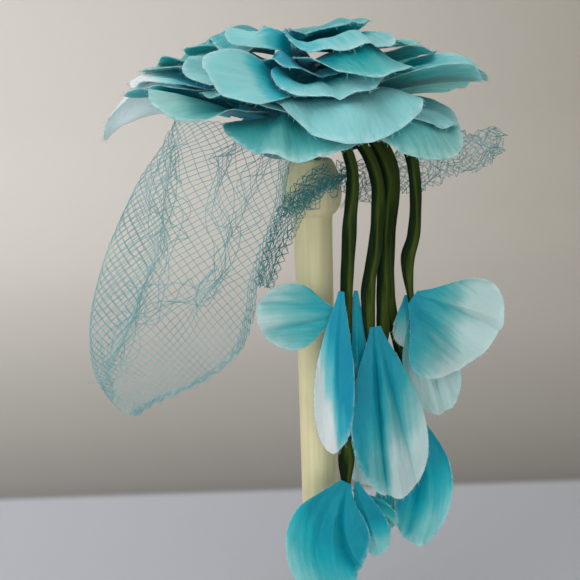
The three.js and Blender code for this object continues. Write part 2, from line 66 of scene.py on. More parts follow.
# azimuth, seat, length, width, lift, bend, cup, twist, lip, side, wave, turn, roll, then the dye: its family,
# where along the petal the deep colour ends, where the pale one starts, and how far it leans to one side
ROSE_PETALS = (
    (273, 27, 61, 62, -1, -34, 6, 2, -8, 0, 1, 0, 0, "mist", 0.25, 1.15, 0.0),
    (313, 27, 70, 62, 2, -50, 6, 8, -10, 0, 1, 0, 0, "mist", 0.30, 1.05, 0.0),
    (226, 27, 60, 48, 18, -28, 8, -20, 0, 0, 1.5, 0, 0, "mist", 0.30, 0.85, -0.25),
    (252, 24, 48, 50, -8, -30, 6, -8, 0, 0, 1, 0, 0, "sky", 0.10, 0.75, 0.0),
    (327, 24, 66, 48, 2, -42, 6, 0, -6, 0, 1, 0, 0, "sky", 0.20, 0.75, 0.0),
    (294, 24, 73, 58, -3, -50, 6, 0, -6, 0, 1, 0, 0, "sky", 0.05, 0.55, 0.0),
    (342, 27, 68, 48, 14, -10, 8, -10, -10, 0, 2, 0, 0, "mist", 0.15, 1.10, 0.0),
    (196, 27, 60, 36, 12, -6, 46, 0, 16, 0, 1, 0, 0, "sea", 0.55, 1.20, 0.0),
    (179, 28, 76, 13, 10, -24, 14, 0, -60, -10, 1, 0, 0, "milk", -0.1, 0.5, 0.0),
    (14, 27, 72, 50, 12, -4, 8, -6, -20, 4, 2, 0, 0, "mist", 0.15, 0.90, 0.0),
    (132, 27, 70, 58, 8, -10, 8, 0, -12, 0, 1.5, 0, 0, "sky", 0.20, 0.85, 0.0),
    (52, 27, 70, 58, 12, -8, 8, 0, 8, 0, 1.5, 0, 0, "mist", 0.20, 0.90, 0.0),
    (92, 27, 70, 62, 10, -10, 10, 0, -10, 0, 1.5, 0, 0, "sky", 0.15, 0.75, 0.0),
    (355, 21, 80, 36, 10, -8, 12, 0, -90, 0, 1.5, 0, 0, "sky", 0.35, 0.80, 0.0),
    (186, 21, 62, 44, 10, -18, 14, 0, -6, 0, 1.5, 0, 0, "milk", 0.45, 0.85, 0.0),
    (162, 21, 62, 54, 24, -42, 12, 0, 8, 0, 1.5, 0, 0, "mist", 0.30, 1.00, 0.0),
    (112, 21, 64, 58, 12, -14, 10, 0, -10, 0, 1.5, 0, 0, "sky", 0.20, 0.85, 0.0),
    (66, 21, 64, 58, 12, -14, 10, 0, -10, 0, 1.5, 0, 0, "sky", 0.20, 0.80, 0.0),
    (240, 30, 42, 36, 20, -8, 8, -14, 0, 0, 1, -34, -24, "sky", 0.05, 0.60, 0.0),
    (270, 47, 46, 34, 16, -8, 10, -20, 0, 0, 1, -62, -28, "sky", 0.22, 0.52, 0.0),
    (287, 26, 56, 46, -24, -10, 16, 4, 20, 0, 1.5, 0, 0, "sky", 0.35, 0.80, 0.0),
    (286, 18, 40, 44, -14, -8, 8, 0, 10, 0, 1.5, 0, 0, "sky", 0.75, 1.20, 0.0),
    (304, 22, 54, 50, -5, -6, 6, 0, 4, 0, 1, 0, 0, "sea", 0.45, 1.10, 0.0),
    (24, 15, 66, 50, 8, -12, 8, 0, -10, 0, 1.5, 0, 0, "mist", 0.20, 0.95, 0.0),
    (80, 15, 54, 52, 10, -14, 10, 0, -10, 0, 1.5, 0, 0, "sky", 0.25, 0.90, 0.0),
    (152, 15, 60, 56, 14, -44, 10, 0, -10, 0, 1.5, 0, 0, "sea", 0.20, 1.30, 0.0),
    (0, 9, 54, 44, 4, -12, 8, 0, 0, 0, 1, 0, 0, "sea", 0.20, 1.10, 0.0),
    (50, 9, 44, 44, 8, -12, 10, 0, -10, 0, 1, 0, 0, "mist", 0.20, 0.95, 0.0),
    (105, 9, 44, 44, 8, -12, 10, 0, -10, 0, 1, 0, 0, "sky", 0.25, 0.90, 0.0),
    (168, 9, 48, 42, 4, -40, 10, 0, -10, 0, 1, 0, 0, "sea", 0.25, 1.20, 0.0),
    (210, 5, 40, 40, 0, -40, 12, 0, 0, 0, 1, 0, 0, "sea", 0.50, 1.40, 0.0),
    (268, 27, 35, 15, 22, 2, 12, -6, 0, 0, 1, -70, -34, "sky", 0.05, 0.55, 0.0),
    (308, 9, 54, 46, -8, -14, 8, 4, 0, 0, 1, 0, 0, "sky", 0.0, 0.95, 0.0),
    (318, 4, 40, 36, -8, -20, 10, 0, 0, 0, 1, 0, 0, "sea", 0.45, 1.30, 0.0),
    (20, 4, 30, 32, 6, -16, 12, 0, 0, 0, 1, 0, 0, "sea", 0.30, 1.20, 0.0),
    (80, 4, 28, 32, 8, -16, 12, 0, 0, 0, 1, 0, 0, "mist", 0.20, 1.00, 0.0),
)

# claw, then heading, lift, bend, roll, length, width, cup, twist, side, fan, then the dye as above, and the folds:
# each fold's place across the petal, its height and its half width as shares of the petal's width
BLOSSOM_PETALS = {
    "blossom_a_petal_1": ((10.8, -29.4, 214), (180, 2, -8, -88, 41, 29, 6, 0, 0, 50), ("ash", -0.02, 1.05, 0.0),
                          ((0.1, 0.07, 0.22), (-0.5, -0.05, 0.12), (0.5, -0.04, 0.1))),
    "blossom_a_petal_2": ((12.4, -32.5, 227), (180, -83, -9, -90, 86, 18, 26, 0, 0, 34), ("milk", 0.42, 0.95, -0.5),
                          ((0.35, -0.08, 0.16), (-0.2, 0.06, 0.2))),
    "blossom_a_petal_3": ((20, -27.3, 226), (270, -90, 0, 0, 64, 12, -4, 0, 0, 34), ("sky", 0.6, 1.1, 0.0),
                          ((0.0, 0.12, 0.25),)),
    "blossom_b_petal_1": ((48, -30.2, 222), (0, -36, -10, 84, 46, 50, 10, 0, -8, 48), ("ash", 0.12, 0.74, 0.16),
                          ((0.7, 0.07, 0.1), (0.5, -0.05, 0.08), (-0.35, -0.05, 0.1), (0.05, 0.03, 0.16))),
    "blossom_b_petal_2": ((50, -25.4, 219), (0, -78, 4, 90, 62, 24, 10, 0, 0, 36), ("ash", 0.1, 0.75, 0.0),
                          ((-0.25, 0.12, 0.16), (0.1, -0.1, 0.1), (0.45, 0.07, 0.12))),
    "blossom_b_petal_3": ((46, -23.5, 222), (270, -90, 0, 0, 28, 12, 0, 0, 0, 40), ("ash", 0.2, 0.9, 0.0), ()),
    "blossom_c_petal_1": ((13, -31.4, 124), (0, -118, 66, 88, 68, 38, 14, 0, 0, 58), ("sky", 0.5, 1.05, -0.35),
                          ((0.66, -0.14, 0.09), (-0.35, -0.06, 0.16), (0.2, 0.07, 0.14), (0.86, 0.06, 0.07))),
    "blossom_c_petal_2": ((18.5, -27.7, 122), (0, -74, 0, 90, 44, 16, 8, 0, 0, 34), ("sky", 0.55, 0.85, 0.0),
                          ((0.0, 0.1, 0.2),)),
    "blossom_c_petal_3": ((17, -25.6, 117), (0, -42, 4, 90, 30, 9, 0, 0, 0, 34), ("sea", 0.5, 1.2, 0.0),
                          ((0.0, 0.2, 0.3),)),
    "blossom_d_petal_1": ((26.6, -22.0, 206), (0, -93, 2, 90, 88, 24, -20, 0, 0, 36), ("ash", 0.5, 0.95, 0.0),
                          ((0.3, 0.14, 0.2), (-0.4, 0.1, 0.14))),
    "blossom_d_petal_2": ((29.2, -31.4, 208), (0, -84, 2, 90, 94, 33, 16, 0, 0, 38), ("ash", 0.34, 0.98, 0.3),
                          ((-0.28, -0.16, 0.09), (0.12, 0.1, 0.2), (0.62, -0.08, 0.1), (-0.7, 0.05, 0.12))),
    "blossom_e_petal_1": ((50, -14.4, 156), (0, -76, -36, 90, 79, 27, 16, 0, 0, 46), ("sky", 0.5, 0.95, 0.2),
                          ((0.35, 0.12, 0.16), (-0.2, -0.12, 0.12), (-0.6, 0.07, 0.12))),
    "blossom_e_petal_2": ((49, -9.6, 156), (0, -98, -6, 88, 72, 18, 10, 0, 0, 36), ("sea", 0.45, 1.05, 0.0),
                          ((0.0, 0.14, 0.2),)),
}
BLOSSOM_BLUNT = 0.25

# Stem paths from the base's underside down, and widths along them as shares of the stem's own
STEM_PATHS = (
    ((0.5, -26.5, 296.6), (13, -31, 300.5), (18.5, -32, 289), (17, -32, 258), (15, -29.5, 223),
     (14.5, -31, 179), (13, -29, 120)),
    ((8, -23, 296.7), (21, -29, 301), (30.5, -30, 283), (30, -30, 252), (26, -30, 227), (27, -29, 196)),
    ((14, -18, 296.9), (27, -23, 301.5), (37, -24, 283), (35, -24, 250), (34, -24, 225), (34, -24, 194)),
    ((18, -11.5, 296.9), (31.5, -17.5, 300.5), (40, -18, 286), (38, -18, 250), (38, -17, 219), (45, -14, 185),
     (52, -12, 154)),
    ((20.5, -4.5, 297.1), (38, -14.5, 302), (46, -26, 297.5), (49.5, -28.5, 282), (49, -28.5, 254), (46, -28, 241),
     (49, -28, 210)),
)
STEM_WIDTHS = (
    ((0, 0.8), (0.16, 0.85), (0.3, 1.08), (0.5, 0.9), (0.75, 0.8), (0.85, 0.95), (0.9, 1.45), (0.96, 1.0), (1, 0.6)),
    ((0, 0.8), (0.3, 0.95), (0.6, 1.0), (0.85, 1.05), (1, 0.55)),
    ((0, 0.8), (0.3, 1.0), (0.7, 0.95), (0.9, 1.05), (1, 0.55)),
    ((0, 0.8), (0.3, 0.95), (0.8, 0.9), (1, 0.5)),
    ((0, 0.7), (0.3, 0.9), (0.55, 0.85), (0.72, 1.1), (0.82, 0.8), (0.9, 0.45), (1, 0.5)),
)

# Net rows: height, the edges' sag below it, fold, front edge, back edge and half depth
NET_ROWS = (
    (313, 3, -68, -20, -44, 12), (301, 3, -75, -10, -48, 15), (284, 2, -88, -12, -54, 16), (266, 1, -98, -15.5, -59, 17),
    (248, 0, -107, -22.5, -59, 17), (230, 0, -114, -28.5, -62, 17), (212, 0, -119, -32, -88, 16.5),
    (194, 0, -121, -40, -107, 16), (180, 2, -120, -60, -113, 14), (168, 1, -115, -84, -111, 11),
    (158, 0, -106, -97, -104, 7),
)
NET_MIDDLE = -6.0
# Where the net bunches, seen from the front: x and z along each bunch, its strength and how far it draws
BUNCHES = (
    (((-69, 299), (-74, 274), (-78, 249), (-93, 218), (-108, 186), (-114, 175)), 0.82, 10.0, 5.0),
    (((-34, 302), (-43, 294), (-47, 282), (-46, 264), (-43, 255), (-44, 246), (-48, 234), (-56, 224),
      (-63, 217)), 0.68, 8.0, 3.5),
    (((-48, 234), (-59, 225), (-75, 222), (-86, 217), (-93, 213), (-99, 204), (-109, 191)), 0.55, 7.0, 2.5),
    (((-14, 297), (-25, 290), (-31, 280), (-35, 270), (-43, 255)), 0.55, 7.0, 2.5),
)
GATHER_PATH = ((-26.5, -26, 229), (-19.5, -26.5, 248), (-11.5, -25.5, 265), (-5, -23, 275), (2, -20, 281),
               (9.5, -18, 283.5))
RUFFLE_EDGES = ((14.6, 288, 266), (35, 292, 269), (55, 297, 274), (77, 302, 281), (97, 303, 289))


def cloth_mesh(name, points, faces, marks=None, cut=None, crease=50):
    """Makes a smooth mesh object from points in millimetres, with values at its points and a map of its cut."""
    mesh = bpy.data.meshes.new(name)
    mesh.from_pydata((np.asarray(points, float) * MM).tolist(), [], faces)
    for mark, values in (marks or {}).items():
        mesh.attributes.new(mark, "FLOAT", "POINT").data.foreach_set("value", np.asarray(values, np.float32))
    if cut is not None:
        corners = np.zeros(len(mesh.loops), np.int32)
        mesh.loops.foreach_get("vertex_index", corners)
        layer = mesh.uv_layers.new(name="Cut")
        layer.data.foreach_set("uv", np.asarray(cut, np.float32)[corners].ravel())
    mesh.polygons.foreach_set("use_smooth", [True] * len(mesh.polygons))
    mesh.set_sharp_from_angle(angle=math.radians(crease))
    mesh.update()
    made = bpy.data.objects.new(name, mesh)
    bpy.context.scene.collection.objects.link(made)
    return made


def wall_faces(rows, columns):
    """Faces of a closed wall between an upper and a lower grid of points."""
    def top(i, j):
        return i * columns + j

    def under(i, j):
        return rows * columns + i * columns + j

    faces = []
    for i in range(rows - 1):
        for j in range(columns - 1):
            faces.append((top(i, j), top(i + 1, j), top(i + 1, j + 1), top(i, j + 1)))
            faces.append((under(i, j), under(i, j + 1), under(i + 1, j + 1), under(i + 1, j)))
    rim = [(0, j) for j in range(columns - 1)] + [(i, columns - 1) for i in range(rows - 1)]
    rim += [(rows - 1, j) for j in range(columns - 1, 0, -1)] + [(i, 0) for i in range(rows - 1, 0, -1)]
    for k, (i, j) in enumerate(rim):
        m, n = rim[(k + 1) % len(rim)]
        faces.append((top(i, j), top(m, n), under(m, n), under(i, j)))
    return faces


def grid_normals(grid):
    """Unit normals of a grid of points, from its neighbours."""
    i, j = np.arange(grid.shape[0]), np.arange(grid.shape[1])
    down = grid[np.minimum(i + 1, i[-1])] - grid[np.maximum(i - 1, 0)]
    along = grid[:, np.minimum(j + 1, j[-1])] - grid[:, np.maximum(j - 1, 0)]
    normals = np.cross(down, along)
    return normals / np.maximum(np.linalg.norm(normals, axis=2, keepdims=True), 1e-9)


def turned_mesh(name, profile, sides):
    """A closed solid turned about the Z axis from a profile of radius and height that starts and ends on it."""
    ring = [(radius, height) for radius, height in profile if radius > 1e-6]
    points = [(0, 0, profile[0][1])]
    for radius, height in ring:
        for n in range(sides):
            angle = 2 * math.pi * n / sides
            points.append((radius * math.cos(angle), radius * math.sin(angle), height))
    points.append((0, 0, profile[-1][1]))
    faces = [(0, 1 + (n + 1) % sides, 1 + n) for n in range(sides)]
    for k in range(len(ring) - 1):
        for n in range(sides):
            a, b = 1 + k * sides + n, 1 + k * sides + (n + 1) % sides
            faces.append((a, b, b + sides, a + sides))
    last = 1 + (len(ring) - 1) * sides
    faces += [(last + n, last + (n + 1) % sides, len(points) - 1) for n in range(sides)]
    return cloth_mesh(name, points, faces, crease=35)


def rounded(profile, steps=5, share=0.35):
    """Rounds the corners of a profile with short curves."""
    points = [profile[0]]
    for before, corner, after in zip(profile, profile[1:], profile[2:]):
        a, b, c = (np.array(p, float) for p in (before, corner, after))
        start, end = b + (a - b) * share, b + (c - b) * share
        for k in range(steps + 1):
            t = k / steps
            points.append(tuple((1 - t) ** 2 * start + 2 * t * (1 - t) * b + t * t * end))
    points.append(profile[-1])
    return points


def finish(name, roughness, **values):
    """A new material, its node tree and its shader, with the even values set on the shader."""
    material = bpy.data.materials.new(name)
    material.use_nodes = True
    shader = material.node_tree.nodes["Principled BSDF"]
    shader.inputs["Roughness"].default_value = roughness
    for socket, value in values.items():
        shader.inputs[socket.replace("_", " ")].default_value = value
    return material, material.node_tree, shader


def add(tree, kind, options=None, sockets=None):
    """Adds a node, sets its options, and links or sets its sockets."""
    made = tree.nodes.new("ShaderNode" + kind)
    for name, value in (options or {}).items():
        setattr(made, name, value)
    for name, value in (sockets or {}).items():
        if isinstance(value, bpy.types.NodeSocket):
            tree.links.new(value, made.inputs[name])
        else:
            made.inputs[name].default_value = value
    return made


def scaled(tree, source, scale):
    """Coordinates from source, scaled along each axis."""
    return add(tree, "Mapping", None, {0: source, "Scale": scale}).outputs[0]


def grain(tree, where, scale, detail=4.0, low=0.0, high=1.0):
    """Fractal grain between low and high."""
    made = add(tree, "TexNoise", None, {"Vector": where, "Scale": scale, "Detail": detail})
    spread = add(tree, "MapRange", None, {0: made.outputs[0], 1: 0.3, 2: 0.7, 3: low, 4: high})
    return spread.outputs[0]


def mixed(tree, share, first, second, kind="MIX"):
    """A colour between first and second."""
    made = add(tree, "Mix", {"data_type": "RGBA", "blend_type": kind}, {0: share, 6: first, 7: second})
    return made.outputs[2]


def summed(tree, operation, first, second):
    return add(tree, "Math", {"operation": operation}, {0: first, 1: second}).outputs[0]


def ramp(tree, share, stops):
    """A colour ramp of places and linear colours."""
    made = add(tree, "ValToRGB", None, {0: share})
    elements = made.color_ramp.elements
    while len(elements) < len(stops):
        elements.new(0.5)
    for element, (place, colour) in zip(elements, stops):
        element.position = place
        element.color = (*colour, 1.0)
    return made.outputs[0]


def relief(tree, shader, height, depth, strength=1.0):
    """Bump from a height, its depth in metres."""
    made = add(tree, "Bump", None, {"Strength": strength, "Distance": depth, "Height": height})
    tree.links.new(made.outputs[0], shader.inputs["Normal"])


def linear(code):
    """A linear colour from a hexadecimal one."""
    channels = [int(code[k:k + 2], 16) / 255 for k in (0, 2, 4)]
    return tuple(c / 12.92 if c <= 0.04045 else ((c + 0.055) / 1.055) ** 2.4 for c in channels)


# Noise vectors follow the clock unless they are seeded, so each operator that draws threads sets this first
NOISE_SEED = 7

# The dyes: deep root, full colour, wash and pale rim
DYES = {
    "sky": ("0094a8", "04a7b7", "41b5bd", "84cacd"),
    "sea": ("008698", "03959c", "2ca4a4", "62b6b2"),
    "mist": ("058896", "2ba0a1", "58abaa", "88c0bb"),
    "milk": ("0b9ab6", "3cb8cb", "8ed6de", "e2f7f9"),
    "ash": ("0290a4", "2ea2aa", "7fb8b8", "bcd6d3"),
}


def satin(family, colours):
    """Dyed satin: an ombre from root to rim, mottled where the dye spread, with fine threads and soft creases."""
    material, tree, shader = finish(
        f"{family}_satin", 0.42, Sheen_Weight=0.06, Sheen_Roughness=0.35, Specular_IOR_Level=0.3,
        Subsurface_Weight=0.6, Subsurface_Radius=(0.5, 1.0, 1.0), Subsurface_Scale=0.002)
    # The dye mark carries the ombre and also the painted shade and highlight of the folds.
    dye = add(tree, "Attribute", {"attribute_name": "dye"}).outputs["Fac"]
    rim = add(tree, "Attribute", {"attribute_name": "rim"}).outputs["Fac"]
    cut = add(tree, "UVMap", {"uv_map": "Cut"}).outputs[0]
    body = add(tree, "TexCoord").outputs["Object"]
    mottle = grain(tree, body, 60.0, 3.0, -0.09, 0.09)
    streaks = grain(tree, scaled(tree, cut, (18.0, 420.0, 1.0)), 1.0, 3.0, -0.1, 0.1)
    spread = summed(tree, "ADD", summed(tree, "ADD", dye, mottle), streaks)
    stops = list(zip((0.0, 0.32, 0.7, 1.0), (linear(code) for code in DYES[family])))
    colour = ramp(tree, spread, stops)
    blotch = grain(tree, body, 22.0, 2.0, 0.88, 1.06)
    colour = mixed(tree, 1.0, colour, blotch, "MULTIPLY")
    frayed = summed(tree, "MULTIPLY", rim, grain(tree, body, 300.0, 2.0, 0.0, 0.5))
    colour = mixed(tree, frayed, colour, (*linear("dff1f0"), 1.0))
    tree.links.new(colour, shader.inputs["Base Color"])
    tree.links.new(grain(tree, scaled(tree, cut, (60.0, 900.0, 1.0)), 1.0, 2.0, 0.34, 0.52),
                   shader.inputs["Roughness"])
    weave = add(tree, "TexWave", {"wave_type": "BANDS", "bands_direction": "Y"},
                {"Vector": cut, "Scale": 900.0, "Distortion": 0.6, "Detail": 1.0}).outputs["Fac"]
    crumple = grain(tree, scaled(tree, cut, (70.0, 190.0, 1.0)), 1.0, 4.0)
    relief(tree, shader, summed(tree, "ADD", summed(tree, "MULTIPLY", weave, 0.06), crumple), 0.0009, 0.7)
    return material


def velvet(colours):
    """Velvet tape over wire with short fibres; painted shade darkens one edge and a painted highlight band runs just
    past the middle.
    """
    material, tree, shader = finish("stem_velvet", 0.8, Sheen_Weight=0.1, Sheen_Roughness=0.35, Specular_IOR_Level=0.15)
    cut = add(tree, "UVMap", {"uv_map": "Cut"}).outputs[0]
    across = add(tree, "Attribute", {"attribute_name": "painted_light_band"}).outputs["Fac"]
    drift = grain(tree, scaled(tree, cut, (25.0, 260.0, 1.0)), 1.0, 3.0, -0.22, 0.22)
    lay = summed(tree, "ADD", across, drift)
    # Painted light: the darkest green at one edge is painted shade, and the lighter green band is a painted highlight.
    deep, painted_light_band = colours.stem_deep[:3], colours.stem_painted_highlight[:3]
    dark = tuple(c * 0.35 for c in deep)
    colour = ramp(tree, lay, ((0.0, dark), (0.35, tuple(deep)), (0.62, tuple(painted_light_band)), (1.0, tuple(deep))))
    tree.links.new(colour, shader.inputs["Base Color"])
    fibres = grain(tree, scaled(tree, cut, (900.0, 3500.0, 1.0)), 1.0, 3.0)
    tree.links.new(grain(tree, scaled(tree, cut, (60.0, 700.0, 1.0)), 1.0, 2.0, 0.55, 0.9),
                   shader.inputs["Roughness"])
    relief(tree, shader, fibres, 0.0004, 0.6)
    return material


def netting(name, deep, pale):
    """Net thread: dyed unevenly, twisted, slightly shiny."""
    material, tree, shader = finish(name, 0.6, Sheen_Weight=0.1, Specular_IOR_Level=0.4)
    body = add(tree, "TexCoord").outputs["Object"]
    shade = grain(tree, body, 35.0, 3.0)
    colour = mixed(tree, shade, (*deep, 1.0), (*pale, 1.0))
    tree.links.new(colour, shader.inputs["Base Color"])
    tree.links.new(grain(tree, body, 900.0, 2.0, 0.5, 0.75), shader.inputs["Roughness"])
    relief(tree, shader, grain(tree, body, 4000.0, 2.0), 0.0001, 0.5)
    return material


def painted_wood(name, colour, worn):
    """Cream paint over turned wood, a little worn, with faint grain along the post."""
    material, tree, shader = finish(name, 0.5, Coat_Weight=0.08, Coat_Roughness=0.3)
    body = add(tree, "TexCoord").outputs["Object"]
    fibres = grain(tree, scaled(tree, body, (420.0, 420.0, 14.0)), 1.0, 5.0)
    patches = grain(tree, body, 30.0, 4.0)
    tone = mixed(tree, patches, (*colour, 1.0), (*tuple(c * 0.86 for c in colour), 1.0))
    tone = mixed(tree, summed(tree, "MULTIPLY", fibres, 0.3), tone, (*worn, 1.0))
    tree.links.new(tone, shader.inputs["Base Color"])
    tree.links.new(grain(tree, body, 120.0, 3.0, 0.42, 0.62), shader.inputs["Roughness"])
    relief(tree, shader, fibres, 0.0002, 0.4)
    return material


def felt(colour):
    """Matted felt of the padded base."""
    material, tree, shader = finish("base_felt", 0.95, Sheen_Weight=0.4)
    body = add(tree, "TexCoord").outputs["Object"]
    fuzz = grain(tree, body, 700.0, 6.0)
    shade = grain(tree, body, 90.0, 4.0)
    tone = mixed(tree, shade, (*colour, 1.0), (*tuple(c * 0.6 for c in colour), 1.0))
    tree.links.new(tone, shader.inputs["Base Color"])
    tree.links.new(grain(tree, body, 300.0, 2.0, 0.85, 1.0), shader.inputs["Roughness"])
    relief(tree, shader, fuzz, 0.0006, 0.7)
    return material


def petal_grid(p, along, across, fray=0.0):
    """The middle surface of a petal along +X from its claw, with the lengthwise and crosswise places of its cut."""
    fan = math.radians(p["fan"])
    curve = 2 * math.radians(p["cup"]) / p["width"]
    widen = p["width"] / (p["length"] * p["fullness"])
    t, s = along[:, None], across[None, :]
    angle = 0.96 * s * fan
    reach = p["length"] * np.cos(angle * math.pi / (2 * fan)) ** p["blunt"]
    if fray:
        edge = np.array([noise.noise(Vector((s_ * 2.6, p["phase"], 1.0))) * 2.2
                         + noise.noise(Vector((s_ * 9.0, p["phase"], 1.0))) * 0.7
                         + noise.noise(Vector((s_ * 37.0, p["phase"], 5.0))) * 0.4 for s_ in across])
        reach = reach * (1 + fray * edge[None, :] * t ** 10)
    u = reach * t * np.cos(angle)
    v = reach * t * np.sin(angle) * widen + p["width"] * 0.24 * s / 2
    if fray:
        v = v * (1 - p["wrap"] * np.exp(-(u / 12) ** 2))
    shares = np.linspace(0, 1, 41)
    pitch = np.radians(p["lift"] + p["bend"] * shares ** 1.4 + p["lip"] * shares ** 6)
    side = np.radians(p["side"] * shares)
    steps = np.stack((np.cos(pitch) * np.cos(side), np.cos(pitch) * np.sin(side), np.sin(pitch)), 1)
    centre = np.vstack(((0, 0, 0), np.cumsum(steps * p["length"] / 40, axis=0)))
    place = np.clip(u / p["length"] * 40, 0, 40 - 1e-6)
    smooth = fray > 0
    at = (place if smooth else np.floor(place)) / 40
    own_pitch = np.radians(p["lift"] + p["bend"] * at ** 1.4 + p["lip"] * at ** 6)
    own_side = np.radians(p["side"] * at)
    turn = np.radians(p["roll"] + p["twist"] * u / p["length"])
    flat = np.stack((-np.sin(own_side), np.cos(own_side), np.zeros_like(u)), 2)
    up = np.stack((-np.sin(own_pitch) * np.cos(own_side), -np.sin(own_pitch) * np.sin(own_side),
                   np.cos(own_pitch)), 2)
    cos, sin = np.cos(turn)[..., None], np.sin(turn)[..., None]
    sideways_of = flat * cos + up * sin
    normal = up * cos - flat * sin
    bent = np.abs(curve * v) >= 1e-4
    safe = curve if abs(curve) > 1e-9 else 1.0
    sideways = np.where(bent, np.sin(curve * v) / safe, v)
    raised = np.where(bent, (1 - np.cos(curve * v)) / safe, 0.0)
    raised = raised + p["wave"] * t ** 3 * np.sin(2 * math.pi * 1.17 * s + p["phase"])
    if fray:
        raised = raised + petal_creases(p, u, v, t)
    low = np.floor(place).astype(int)
    part = (place - low)[..., None]
    grid = centre[low] * (1 - part) + centre[low + 1] * part
    return grid + sideways_of * sideways[..., None] + normal * raised[..., None], u, v


def fullness(fan, blunt):
    """How wide a fan is beside its length, from the half angle that its edge runs through."""
    share = np.arange(90) / 90
    return 2 * float((np.cos(share * math.pi / 2) ** blunt * np.sin(share * math.radians(fan))).max())


def petal_creases(p, u, v, t):
    """Soft creases that fan out from the claw, and a fine flutter of the rim."""
    heading = np.arctan2(v, u + 0.15 * p["length"])
    seed = p["phase"] * 1.3
    fans = 0.35 * np.sin(heading * 9.0 + seed) + 0.2 * np.sin(heading * 23.0 + 2.1 * seed)
    flutter = 0.7 * np.sin(heading * 13.0 + 1.7 * seed + 2.0 * np.sin(heading * 5.0 + seed)) * t ** 5
    raised = p["crease"] * min(1, p["width"] / 40) * (fans * np.minimum(1, 2 * t) + flutter)
    across = 2 * v / p["width"]
    for place, height, spread in p["folds"]:
        lean = place * np.minimum(1, 0.15 + u / p["length"])
        ridge = np.sqrt(((across - lean) / spread) ** 2 + 0.02)
        raised = raised + height * p["width"] * np.exp(-ridge) * np.minimum(1, 3 * t)
    frill = np.sin(heading * 41 + 3 * seed) + 0.6 * np.sin(heading * 67 + seed)
    return raised + p["frill"] * frill * t ** 7


def weights_of(steps):
    """The shares of a facet's corners at points of an even spacing over it."""
    return np.array([(1 - (m + n) / steps, m / steps, n / steps)
                     for m in range(steps + 1) for n in range(steps + 1 - m)])


class Pile:
    """What has been laid so far over the rose, as a height over each square millimetre."""

    CELLS = 260

    def __init__(self):
        self.heights = np.full(self.CELLS * self.CELLS, -1e9)
        radius = np.arange(-32, 32.01, 0.5)
        x, y = (a.ravel() for a in np.meshgrid(radius, radius))
        r = np.hypot(x, y)
        radii, heights = zip(*reversed(DOME))
        inside = r <= DOME[0][0]
        z = np.interp(r, radii, heights)
        np.maximum.at(self.heights, self.cell(x[inside], y[inside]), z[inside])

    def cell(self, x, y):
        half = self.CELLS // 2
        return (np.floor(x).astype(int) + half) * self.CELLS + np.floor(y).astype(int) + half

    def lay(self, x, y, z):
        np.maximum.at(self.heights, self.cell(x, y), z)

    def under(self, x, y):
        return self.heights[self.cell(x, y)]


def facet_samples(points, facets):
    """Facets grouped by size: their corners, the corners' shares, and the sample points."""
    corners = points[facets]
    sides = [np.linalg.norm(corners[:, a] - corners[:, b], axis=1) for a, b in ((0, 1), (1, 2), (2, 0))]
    steps = np.maximum(1, np.ceil(np.max(sides, axis=0) / 0.7)).astype(int)
    for count in np.unique(steps):
        chosen = facets[steps == count]
        shares = weights_of(count)
        yield chosen, shares, np.einsum("mk,fkc->fmc", shares, points[chosen])


def rough_facets(rows, columns):
    facets = []
    for i in range(rows):
        for j in range(columns):
            a, b = i * (columns + 1) + j, (i + 1) * (columns + 1) + j
            facets += [(a, b, b + 1), (a, b + 1, a + 1)]
    return np.array(facets)


def settle_rough(grid, pile):
    """Lays the coarse wall of a petal, and gives how far each of its points moved in height."""
    before = grid[..., 2].copy()
    shape = grid.shape[:2]
    half = ROUGH_WALL / 2
    claw = np.stack((grid[0], grid[0]))
    drop = -1e9
    for _, _, at in facet_samples(claw.reshape(-1, 3), rough_facets(1, shape[1] - 1)):
        at = at.reshape(-1, 3)
        drop = max(drop, (pile.under(at[:, 0], at[:, 1]) + GAP + half - at[:, 2]).max())
    grid[..., 2] += drop
    facets = rough_facets(shape[0] - 1, shape[1] - 1)
    for _ in range(24):
        under = (grid - grid_normals(grid) * half).reshape(-1, 3)
        raised = np.zeros(len(under))
        for chosen, shares, at in facet_samples(under, facets):
            short = pile.under(at[..., 0], at[..., 1]) + GAP - at[..., 2]
            lift = short / (shares ** 2).sum(1)[None, :]
            for k in range(3):
                np.maximum.at(raised, chosen[:, k], (lift * shares[None, :, k]).max(1))
        if raised.max() < 0.02:
            break
        raised = spread_raise(raised.reshape(shape), 0.5)
        grid[..., 2] += raised
    under = (grid - grid_normals(grid) * half).reshape(-1, 3)
    clearance = min((at[..., 2] - pile.under(at[..., 0], at[..., 1])).min()
                    for _, _, at in facet_samples(under, facets))
    grid[..., 2] -= clearance - GAP
    over = (grid + grid_normals(grid) * half).reshape(-1, 3)
    for _, _, at in facet_samples(over, facets):
        pile.lay(at[..., 0].ravel(), at[..., 1].ravel(), at[..., 2].ravel())
    return grid[..., 2] - before


def spread_raise(raised, share):
    padded = np.pad(raised, 1)
    around = np.maximum.reduce([padded[:-2, 1:-1], padded[2:, 1:-1], padded[1:-1, :-2], padded[1:-1, 2:]])
    return np.maximum(raised, around * share)


def fine_samples(grid):
    """Points between the corners of a fine grid's cells, with the corners' shares."""
    for a in (0.0, 0.2, 0.4, 0.6, 0.8):
        for b in (0.0, 0.34, 0.67):
            shares = ((1 - a) * (1 - b), (1 - a) * b, a * (1 - b), a * b)
            corners = (grid[:-1, :-1], grid[:-1, 1:], grid[1:, :-1], grid[1:, 1:])
            yield shares, sum(w * c for w, c in zip(shares, corners))


